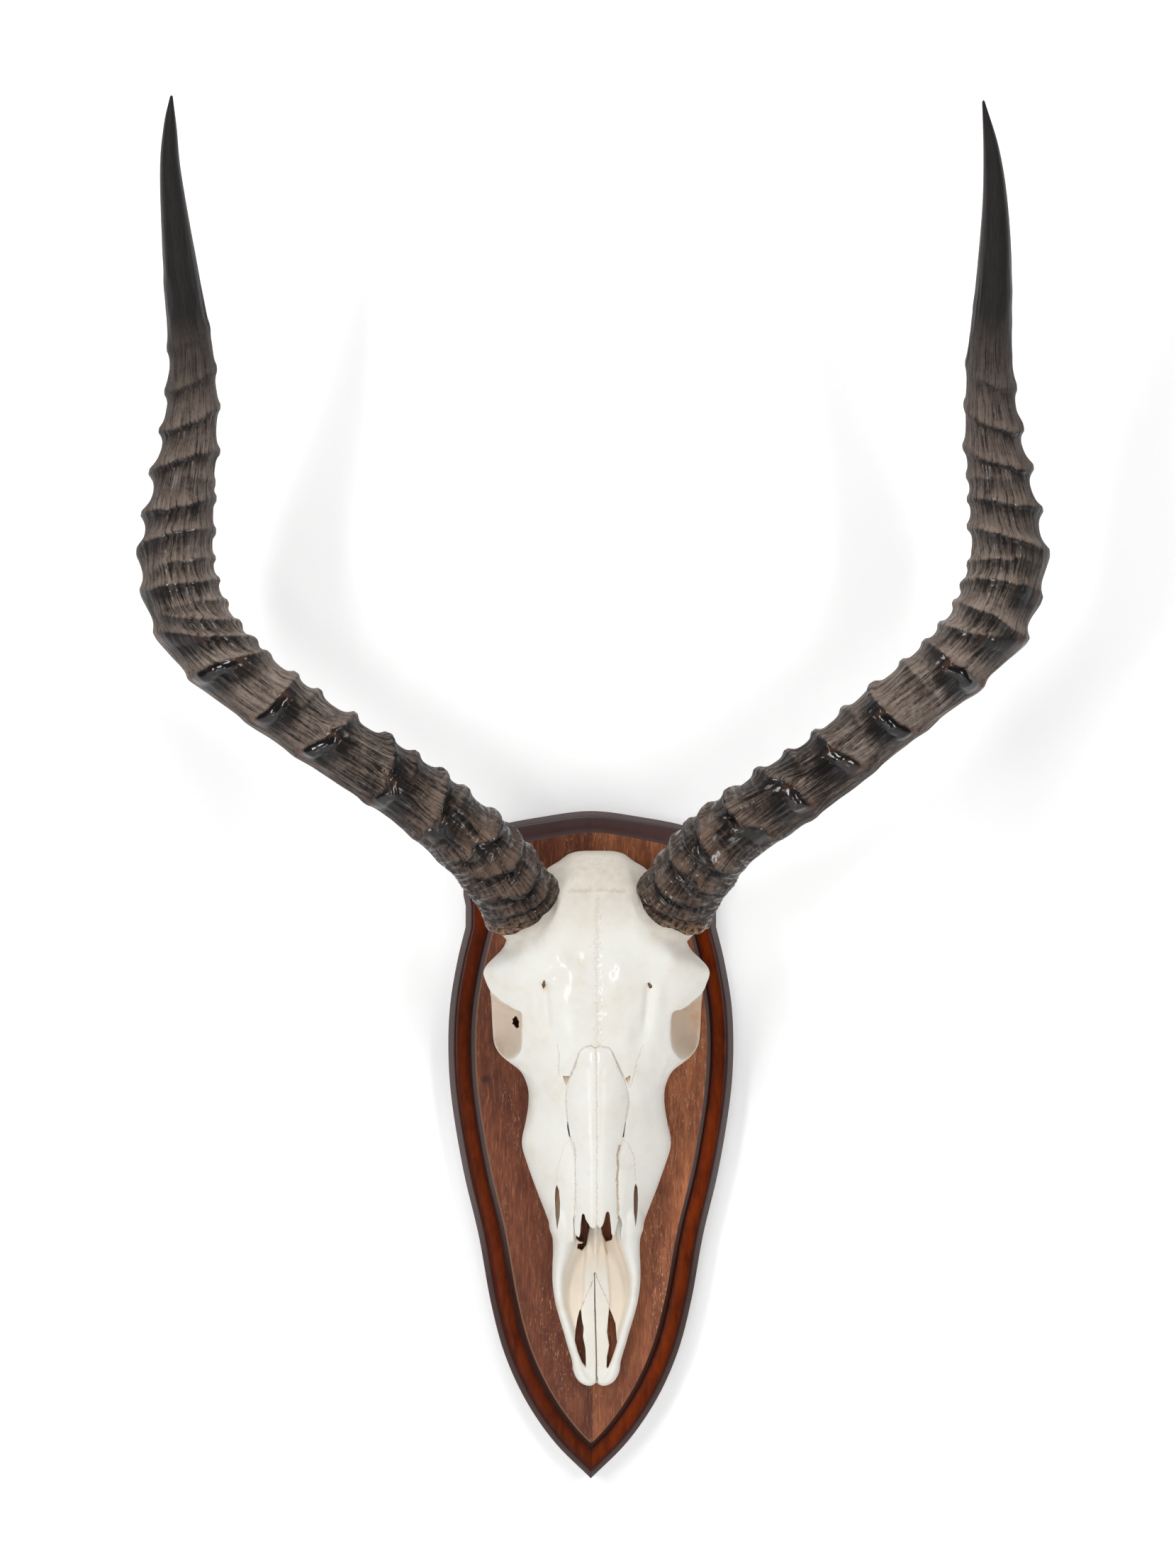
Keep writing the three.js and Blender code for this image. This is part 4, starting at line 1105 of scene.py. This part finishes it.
                     (-45.3, 67.2), (-46, 68.5), (-47.1, 69), (-46.4, 70.3), (-47, 71.6), (-46, 72.2)],
    },
    # cut to a depth: outline, lowest height
    "pits": {
        "vacuityLeft": ([(-18.6, 42.8), (-17.6, 42.3), (-14.9, 42.5), (-15.3, 40.5), (-16.1, 36.9),
                         (-17.1, 37.1), (-18.2, 41.1)], 46),
        "vacuityRight": ([(15.7, 41.1), (16.9, 41.9), (18.4, 42.8), (18.7, 41.7), (18.1, 36.9),
                          (17.2, 33.6), (17, 38.1), (16.3, 39.9)], 46),
        "slotLeft": ([(-15.9, 18), (-15.1, 16.2), (-14.7, 11.4), (-14, 7.3), (-15.2, 8.8),
                      (-16.2, 13.8)], 33),
        "slotRight": ([(15.4, 18.6), (16.1, 16.2), (15.6, 13.2), (15.1, 8.4), (14.2, 7.6), (13.9, 13.2),
                       (14.7, 15)], 33),
        "slitLeft": ([(-22, -19.2), (-20.8, -22.2), (-20.2, -29.4), (-20.4, -36.7), (-21.8, -44.5),
                      (-22.7, -36.7), (-23.1, -27), (-22.7, -21.6)], 16.5),
        "slitRight": ([(21.7, -18.4), (22.7, -21), (23, -27), (22.8, -34.3), (21.7, -42.7), (20.7, -34.3),
                       (20.6, -24.6), (21, -20.4)], 16.5),
        "foramenLeft": ([(-28.6, 95.7), (-28, 94.4), (-28, 92.1), (-29.3, 90.6), (-30, 92.8),
                         (-29.3, 94.7)], 54),
        "foramenRight": ([(27.7, 93.6), (28.8, 94.1), (30.5, 92.3), (30.2, 90.9), (28.9, 90.9)], 54),
        "seamGap": ([(-1.2, -69.8), (-0.9, -69.8), (-0.5, -86), (-0.2, -98), (0.1, -110), (0.3, -122),
                     (0.35, -127),
                     (0.9, -129), (1.1, -136), (-0.9, -136), (-0.4, -129), (-0.3, -122), (-0.5, -110),
                     (-0.9, -98), (-1.3, -86)], 3.4),
    },
    # nose bones: outline, then z, height in the middle and fall to the edge
    "nasals": [
        (-14.7, 41.3), (-12.3, 46.7), (-10.5, 52.6), (-9.3, 56.2), (-6.3, 58.6), (-2.8, 59.4),
        (-0.6, 57.8), (0.8, 59.2),
        (3.2, 58.8), (6.7, 58.3), (8.5, 56.2), (10.3, 51.4), (12.1, 47.3), (14.3, 42.2), (16.2, 37.5),
        (17.3, 32), (17.5, 25.8),
        (16, 17.4), (14.2, 7.3), (11.9, 1.9), (11.2, -5.3), (11.8, -9.3), (11.2, -14.1), (11.6, -20),
        (11.8, -28.5),
        (12.2, -38.1), (10.4, -46), (9.4, -48), (8.3, -46.5), (7.8, -40.5), (7.1, -34.5), (6.4, -31.5),
        (5.2, -34.5), (4, -39.9),
        (2.8, -42.3), (1.6, -42.9), (0.7, -41.1), (0.35, -34.5), (0.25, -33.5), (0, -34.5), (-0.4, -42.3),
        (-1.4, -43.2),
        (-3.5, -42.3), (-4.7, -39.9), (-6, -38.1), (-6.8, -34.5), (-8, -34.8), (-8.6, -40.5), (-9, -46.5),
        (-9.8, -48.7),
        (-12, -46.5), (-12.6, -41.1), (-11.9, -28.5), (-11.6, -18.9), (-11.5, -12.4), (-11.7, 1.9),
        (-12.5, 4.9),
        (-14.3, 7.3), (-15.9, 17.4), (-16.3, 23.4), (-16.8, 30.5), (-16.4, 35.3),
    ],
    "nasalRows": [
        (62, 55.2, 1.2), (57, 56.3, 1.8), (51.5, 56, 2.8), (47.4, 55.5, 3.8), (42, 54.4, 5.2),
        (33.4, 52.4, 6.2), (19, 48.8, 6),
        (8, 45.6, 5.2), (-10, 41, 5), (-25, 37, 5.2), (-39.5, 33.2, 5.4), (-52, 30, 5.6),
    ],
    "nasalHalf": 18,
    "nasalThick": 3.4,
    "coarse": 1.0,  # mesh size of the mass
    "fine": 0.6,  # and of the nose bones
}


# Seams between the bones: points, width of the line and how dark it is. Upright ones give x for each z.
boneSeams = {
    "upright": [
        ([(58, 0.4), (80, 0.8), (110, 0.2), (142, 0.6)], 1.6, 0.2),
        ([(-43, 0.1), (-10, 0.2), (20, 0.1), (57, -0.4)], 0.34, 0.5),
        ([(-41, -12.5), (-28.5, -11.9), (-19, -11.6), (1.9, -11.7), (4.9, -12.4), (7.3, -14.2)], 0.42, 0.45),
        ([(18, -16), (30.5, -16.9), (36, -16.4)], 0.4, 0.3),
        ([(41.3, -14.8), (46.7, -12.4), (52.6, -10.6), (56.2, -9.4)], 0.5, 0.5),
        ([(-38, 12.3), (-28.5, 11.9), (-14, 11.3), (-9.3, 12), (-2, 11.3), (4, 12.8)], 0.9, 0.8),
        ([(18, 15.9), (25.8, 17.5), (33.5, 17.4)], 0.4, 0.4),
        ([(42, 14.4), (47.3, 12.2), (51.4, 10.4), (56.2, 8.6)], 0.5, 0.5),
        ([(42.4, -20.6), (45.4, -20.9), (54.9, -20.6), (60, -21.3)], 0.4, 0.4),
        ([(36, 18.4), (45.4, 21.3), (50.1, 22), (59.6, 25.5)], 0.4, 0.4),
        ([(-17, -21.8), (-12.9, -22.1), (-2.1, -19.4), (2.7, -18.2), (6.3, -15.2)], 0.34, 0.25),
        ([(-16.5, 21.6), (-8.1, 21), (-3.3, 20.8), (3.9, 17.8), (6.9, 14.8)], 0.4, 0.35),
        ([(-90.7, -8.7), (-84, -6.2), (-74.3, -2), (-69.5, -1)], 0.4, 0.7),
        ([(-88.3, 7.1), (-80.4, 4), (-73.1, 0.4), (-69.5, -1)], 0.4, 0.7),
        ([(-60, 5.9), (-52, 4.4), (-46, 3.2)], 0.7, 0.5),
        ([(-132, 0.2), (-110, -0.2), (-90, -0.9)], 1.1, 0.3),
    ],
    "level": [
        ([(-9.4, 56.4), (-6.3, 58.8), (-2.8, 59.5), (-0.6, 58.2), (0.8, 59.3), (6.7, 58.5),
        (8.6, 56.4)], 0.55, 0.5),
        ([(-16, 143.6), (0, 144.4), (16, 143.8)], 1.3, 0.25),
    ],
}


def boneSpots(x, height, z):
    spots = np.empty((len(x), 3))
    spots[:, 0], spots[:, 1], spots[:, 2] = np.asarray(x) + skull["x"], -skull["back"] - np.asarray(height), z
    return spots


# Sections of the skull from the crown to the nose: one row per z,
# each with z, x and height from the middle out
def skullSections():
    rows = []
    for (z, *pairs), foot in zip(skull["rows"], skull["foot"]):
        half = throughRows([(-pairs[1][0], pairs[1][1]), *pairs, (foot, 0), (foot, -6)], 6)[6:]
        rows.append(np.column_stack([np.full(len(half), z), half]).ravel())
    return throughRows(rows, 5).reshape(-1, len(half), 3)


# Height of the skull's outer surface at each x and z
def surfaceHeight(sections, x, z):
    grid = np.arange(0, 64, 0.5)
    table = np.array([np.interp(grid, np.maximum.accumulate(row[:, 1]), row[:, 2]) for row in sections])
    rowAt = np.interp(z, sections[::-1, 0, 0], np.arange(len(sections))[::-1])
    columnAt = np.clip(np.abs(x) / 0.5, 0, len(grid) - 1.001)
    i, j = np.clip(rowAt.astype(int), 0, len(sections) - 2), columnAt.astype(int)
    a, b = rowAt - i, columnAt - j
    upper = table[i, j] * (1 - b) + table[i, j + 1] * b
    lower = table[i + 1, j] * (1 - b) + table[i + 1, j + 1] * b
    return upper * (1 - a) + lower * a


# A hollow that narrows about its middle point as it goes deeper
def bowl(name, outline, steps, middle, wobble=0):
    outline = throughRows([*outline, outline[0]], 4)[:-1]
    if wobble:
        spots = np.column_stack([outline, np.zeros(len(outline))])
        outline = outline + (softNoise(spots, 2.2, 5)[:, None] - 0.5) * wobble * np.array([0.3, 1])
    rings = []
    for height, share in steps:
        ring = np.array(middle) + (outline - middle) * share
        rings.append(boneSpots(ring[:, 0], np.full(len(ring), height), ring[:, 1]))
    return skin(name, rings)


# A rod with an oval section along rows of x, height, z, half width and half height
def rod(name, rows, around=24, steps=6):
    rows = throughRows(rows, steps)
    run = np.gradient(rows[:, [0, 2]], axis=0)
    run /= np.linalg.norm(run, axis=1)[:, None]
    turns = np.linspace(0, 2 * math.pi, around, endpoint=False)
    rings = []
    for (x, height, z, half, tall), (alongX, alongZ) in zip(rows, run):
        across = np.cos(turns) * max(half, 0.05)
        rings.append(boneSpots(x + across * alongZ, height + np.sin(turns) * tall, z - across * alongX))
    return skin(name, rings)


def throughPlate(name, outline, low, high):
    outline = np.array(outline) + [skull["x"], 0]
    return plate(name, outline, skull["back"] + low, skull["back"] + high)


def makeMass(sections):
    rings = []
    for row in sections:
        whole = np.vstack([row[::-1] * [1, -1, 1], row[1:]])
        rings.append(boneSpots(whole[:, 1], whole[:, 2], whole[:, 0]))
    mass = skin("skullMass", rings)
    under = skull["underBrow"]
    for side, outline in zip((-1, 1), skull["orbits"]):
        middle = (side * skull["orbitMiddle"][0], skull["orbitMiddle"][1])
        cut(mass, bowl("orbitCut", outline, skull["orbitSteps"], middle, 1.1))
        deselectAll()
        x, height, z = under["at"]
        spot = boneSpots([side * x], [height], [z])[0] * mm
        bpy.ops.mesh.primitive_uv_sphere_add(segments=48, ring_count=24, radius=1, location=spot)
        ball = added("browCut")
        ball.scale = [v * mm for v in under["size"]]
        settle(ball)
        cut(mass, ball)
    cut(mass, bowl("snoutCut", skull["snout"], skull["snoutSteps"], skull["snoutMiddle"]))
    rows = [(0, (low + high) / 2, z, half, (high - low) / 2) for z, half, low, high in skull["hollow"]]
    cut(mass, rod("hollowCut", rows, 32))
    return mass


def makeSnout():
    made = []
    for side in (-1, 1):
        rows = [(side * x, crest * 0.3, z, half, crest * 0.7) for x, z, half, crest in skull["bar"]]
        made.append(rod("snoutBar", rows))
    strip = throughPlate("palateStrip", skull["strip"], -4, 7)
    take(strip)
    points = pointsOf(strip)
    front = points[:, 1] < -(skull["back"] + 5) * mm
    zs, heights = zip(*reversed(skull["stripHeights"]))
    points[front, 1] = -(skull["back"] + np.interp(points[front, 2] / mm, zs, heights)) * mm
    movePoints(strip, points)
    finishWith(strip, "TRIANGULATE")
    made.append(strip)
    floor = throughPlate("palateFloor", [(x * 1.1, z) for x, z in skull["snout"]], -4, 5)
    made.append(floor)
    rows = [(-0.5, height * 0.4, z, half, height * 0.6) for z, half, height in skull["vomer"]]
    made.append(rod("vomerRidge", rows))
    return made


def makePedicles():
    made = []
    root = skull["pedicleRoot"]
    for name, side in (("left", -1), ("right", 1)):
        seat = np.array(horns[name]["line"][0][:3])
        start = np.array([side * root["x"] + skull["x"], root["height"] + skull["back"], root["z"]])
        axis = seat - start
        axis /= np.linalg.norm(axis)
        across = np.cross(axis, [0, 1, 0])
        across /= np.linalg.norm(across)
        up = np.cross(axis, across)
        turns = np.linspace(0, 2 * math.pi, 40, endpoint=False)
        rings = []
        for share, radius in skull["pedicle"]:
            middle = start + (seat - start) * share
            ring = middle + radius * (np.cos(turns)[:, None] * across + np.sin(turns)[:, None] * up)
            rings.append(ring * [1, -1, 1])
        made.append(skin("pedicle", rings))
    return made


def makeNasals():
    zs, tops, falls = (np.array(v) for v in zip(*reversed(skull["nasalRows"])))
    half = skull["nasalHalf"]
    x = np.linspace(-half, half, 61)
    rings = []
    for z in np.arange(-52, 62.1, 2):
        top = np.interp(z, zs, tops)
        fall = np.interp(z, zs, falls)
        edge = np.interp(z, [-52, 0, 8, 30, 45, 60], [12.4, 12.4, 14.5, 17.2, 15, 10])
        upper = top - fall * (np.abs(x) / edge) ** 2.1 - 0.3 * np.exp(-((x - 0.2) / 0.8) ** 2)
        lower = upper - skull["nasalThick"] + 0.6 * np.abs(x / edge)
        rings.append(boneSpots(np.r_[x, x[::-1]], np.r_[upper, lower[::-1]], np.full(122, z)))
    nasals = skin("nasals", rings)
    outline = throughPlate("nasalOutline", skull["nasals"], 10, 80)
    finishWith(nasals, "BOOLEAN", operation="INTERSECT", object=outline, solver="EXACT")
    removeAll(outline)
    finishWith(nasals, "REMESH", mode="VOXEL", voxel_size=skull["fine"] * mm)
    finishWith(nasals, "SMOOTH", factor=0.5, iterations=3)
    return nasals


def makeSkull():
    sections = skullSections()
    bone = joinAll("skull_bone", [makeMass(sections), *makeSnout(), *makePedicles()])
    print("skull parts are joined")
    finishWith(bone, "REMESH", mode="VOXEL", voxel_size=skull["coarse"] * mm)
    finishWith(bone, "SMOOTH", factor=0.5, iterations=5)
    print("skull has", len(bone.data.polygons), "faces")
    carveBone(bone, sections)
    take(bone)
    bpy.ops.object.mode_set(mode="EDIT")
    bpy.ops.mesh.select_all(action="SELECT")
    sawnAt = (0, -skull["back"] * mm, 0)
    bpy.ops.mesh.bisect(plane_co=sawnAt, plane_no=(0, -1, 0), use_fill=True, clear_inner=True)
    bpy.ops.object.mode_set(mode="OBJECT")
    behind, infront = -5, 90  # past the bone on both sides
    cutters = [throughPlate(name, outline, behind, infront) for name, outline in skull["through"].items()]
    cutters += [throughPlate(name, outline, low, infront) for name, (outline, low) in skull["pits"].items()]
    bore, head, deep = skullScrew["shank"] + play, skullScrew["headHeight"], skullScrew["inBone"]
    cutters += [screwBody("screwHole", x, z, bore, head, bore, deep, 0) for x, z in skullScrews.values()]
    cut(bone, joinAll("skullCuts", cutters))
    bone = joinAll("skull_bone", [bone, makeNasals()])
    tintBone(bone, sections)
    bone.data.materials.clear()
    bone.data.materials.append(bonePaint())
    smoothShade(bone, 50)
    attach(bone, "root")
    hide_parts("skull")
    print("skull is made of", len(bone.data.polygons), "faces")


# Soft grooves and swellings of the bone's front
def carveBone(bone, sections):
    points = pointsOf(bone) / mm
    normals = np.empty(len(points) * 3)
    bone.data.vertices.foreach_get("normal", normals)
    normals = normals.reshape(-1, 3)
    x, height, z = points[:, 0] - skull["x"], -points[:, 1] - skull["back"], points[:, 2]
    sunk = surfaceHeight(sections, x, z) - height
    outer = ease(-sunk, -3.5, -1.5) * ease(-normals[:, 1], 0.1, 0.4)
    groove = np.interp(z, [56, 75, 94], [26, 27.4, 28.9])
    rise = -1.5 * hump(np.abs(x), groove, 2.4) * ease(z, 58, 76) * (1 - ease(z, 92, 96))
    rise += 1.0 * hump(np.abs(x), groove + 5.5, 3.6) * hump(z, 84, 12)
    rise += 0.8 * hump(np.abs(x), 14, 9) * hump(z, 84, 16)
    rise -= 1.1 * hump(np.abs(x), 23, 4.5) * hump(z, 62, 13)
    wavy = 0.5 + 0.9 * np.sin(z * 1.7) + 0.6 * np.sin(z * 4.1 + 1)
    rise -= 0.35 * hump(x, wavy, 0.9) * ease(z, 58, 66) * (1 - ease(z, 136, 143))
    rise -= 0.3 * hump(z, 144 + 0.6 * np.sin(x * 1.3), 0.8) * (1 - ease(np.abs(x), 14, 18))
    broad = softNoise(points, 9, 2) - 0.5
    small = softNoise(points, 3.2, 6) - 0.5
    cheek = hump(np.abs(x), 43, 6) * hump(z, 46, 8)
    rise += broad * 0.8 + small * (0.18 + 1.1 * cheek)
    movePoints(bone, (points + normals * (rise * outer)[:, None]) * mm)


def tintBone(bone, sections):
    points = pointsOf(bone) / mm
    x, height, z = points[:, 0] - skull["x"], -points[:, 1] - skull["back"], points[:, 2]
    side = np.abs(x)
    sunk = surfaceHeight(sections, x, z) - height
    pink = np.zeros(len(x))
    for outline in skull["orbits"]:
        inside = np.where(insideOf(outline, x, z), 1, -1) * gapTo(outline, x, z)
        pink = np.maximum(pink, ease(inside, -1, 1) * ease(sunk, 1, 4))
    inside = np.where(insideOf(skull["snout"], x, z), 1, -1) * gapTo(skull["snout"], x, z)
    onStrip = insideOf(skull["strip"], x, z) * ease(-z, 60, 76)
    floor = ease(inside, -0.6, 1.6) * ease(-z, 44, 52) * (1 - 0.75 * onStrip)
    tan = ease(sunk, 0.8, 2.4) * hump(side, 21.8, 2.4) * ease(-z, 12, 20) * (1 - ease(-z, 44, 50))
    tan = np.maximum(tan, ease(sunk, 0.8, 2.4) * hump(side, 16.6, 3) * ease(z, 30, 33) * (1 - ease(z, 44, 47)))
    tan = np.maximum(tan, ease(sunk, 0.6, 2) * hump(side, 29, 2) * hump(z, 93, 3))
    # Creamier bone round the horn seats; over the crown a darker cream that is partly painted shade
    crown = ease(z, 116, 152)
    seats = np.zeros(len(points))
    for name in ("left", "right"):
        away = np.linalg.norm(points - np.array(horns[name]["line"][0][:3]) * [1, -1, 1], axis=1)
        seats = np.maximum(seats, 1 - ease(away, 18, 34))
    addAttribute(bone, "pink", pink)
    # Painted shade deep in the orbits, darker in the right one
    addAttribute(bone, "deep", pink * ease(sunk, 5, 34) * np.where(x > 0, 1, 0.6))
    addAttribute(bone, "amber", pink * hump(x, 56, 4) * hump(z, 74, 12))
    addAttribute(bone, "floor", floor)
    addAttribute(bone, "tan", tan)
    addAttribute(bone, "creamAndShade", np.maximum(crown, seats))
    nose = insideOf(skull["nasals"], x, z) & (z > -50)
    brow = hump(side, 6, 22) * ease(z, 56, 66) * (1 - ease(z, 100, 124))
    addAttribute(bone, "gloss", np.maximum(nose, brow * 0.8))


def bonePaint():
    paint = Paint("bleachedBone")
    spot = paint.place()
    broad = paint.noise(spot, 38, 3, 0.55)
    small = paint.noise(spot, 240, 4, 0.6)
    fine = paint.noise(spot, 700, 3, 0.6)
    grain = paint.noise(paint.place((1, 1, 0.3)), 1100, 3, 0.6)
    axes = paint.add("SeparateXYZ", Vector=paint.place((1000, 1000, 1000), (-skull["x"], 0, 0)))
    up = axes.node.outputs[2]
    jitter = paint.times(paint.less(fine, 0.5), 2.4)
    across = paint.plus(axes, jitter)
    zigzag = paint.plus(axes, paint.times(paint.less(paint.noise(spot, 620, 1), 0.5), 9))

    tone = paint.mix(paint.between(broad, 0.35, 0.7), shade(238, 237, 230), shade(232, 228, 218))
    # Creamier bone, darker over the crown with painted shade
    creamAndShade = paint.times(paint.read("creamAndShade"), paint.between(small, 0.3, 0.75, 0.6, 1.0))
    tone = paint.mix(creamAndShade, tone, shade(208, 197, 182))
    stains = paint.times(paint.between(paint.noise(spot, 75, 4, 0.65), 0.55, 0.75), 0.35)
    tone = paint.mix(stains, tone, shade(226, 210, 184))
    tone = paint.mix(paint.read("floor"), tone, paint.mix(broad, shade(238, 228, 212), shade(226, 208, 186)))
    tone = paint.mix(paint.read("pink"), tone, paint.mix(broad, shade(244, 235, 220), shade(230, 214, 196)))
    # Painted shade deep in the orbits
    tone = paint.mix(paint.times(paint.read("deep"), 0.6), tone, shade(182, 150, 120))
    amber = paint.times(paint.read("amber"), paint.between(small, 0.4, 0.6, 0.2, 0.7))
    tone = paint.mix(amber, tone, shade(206, 150, 88))
    tone = paint.mix(paint.read("tan"), tone, shade(205, 150, 84))

    lines = 0.0
    for points, width, share in boneSeams["upright"]:
        line = paint.seam(up, zigzag if width > 1.5 else across, points, width)
        lines = paint.most(lines, paint.times(line, share))
    for points, width, share in boneSeams["level"]:
        line = paint.seam(axes, paint.plus(up, jitter), points, width)
        lines = paint.most(lines, paint.times(line, share))
    broken = paint.times(lines, paint.between(small, 0.3, 0.5, 0.45, 1.0))
    tone = paint.mix(broken, tone, shade(186, 148, 106))
    paint.set(Base_Color=tone)

    patches = paint.between(paint.noise(spot, 95, 3), 0.42, 0.6)
    wet = paint.times(paint.read("gloss"), paint.between(patches, 0, 1, 0.5, 1.0))
    paint.set(Roughness=paint.between(wet, 0, 1, 0.46, 0.3))
    paint.set(Coat_Weight=paint.times(wet, 0.9), Coat_Roughness=0.1)
    paint.set(Subsurface_Weight=0.05, Subsurface_Radius=(0.004, 0.003, 0.002), Subsurface_Scale=1.0)
    rough = paint.plus(paint.times(small, 0.8), paint.times(grain, 0.25))
    rough = paint.less(rough, paint.times(broken, 0.7))
    paint.set(Normal=paint.bump(rough, 0.3, 0.0009))
    return paint.material


setStage()
makeShield()
keratin = hornPaint()
for hornName in ("left", "right"):
    makeHorn(hornName).data.materials.append(keratin)
makeSkull()
makeHardware()
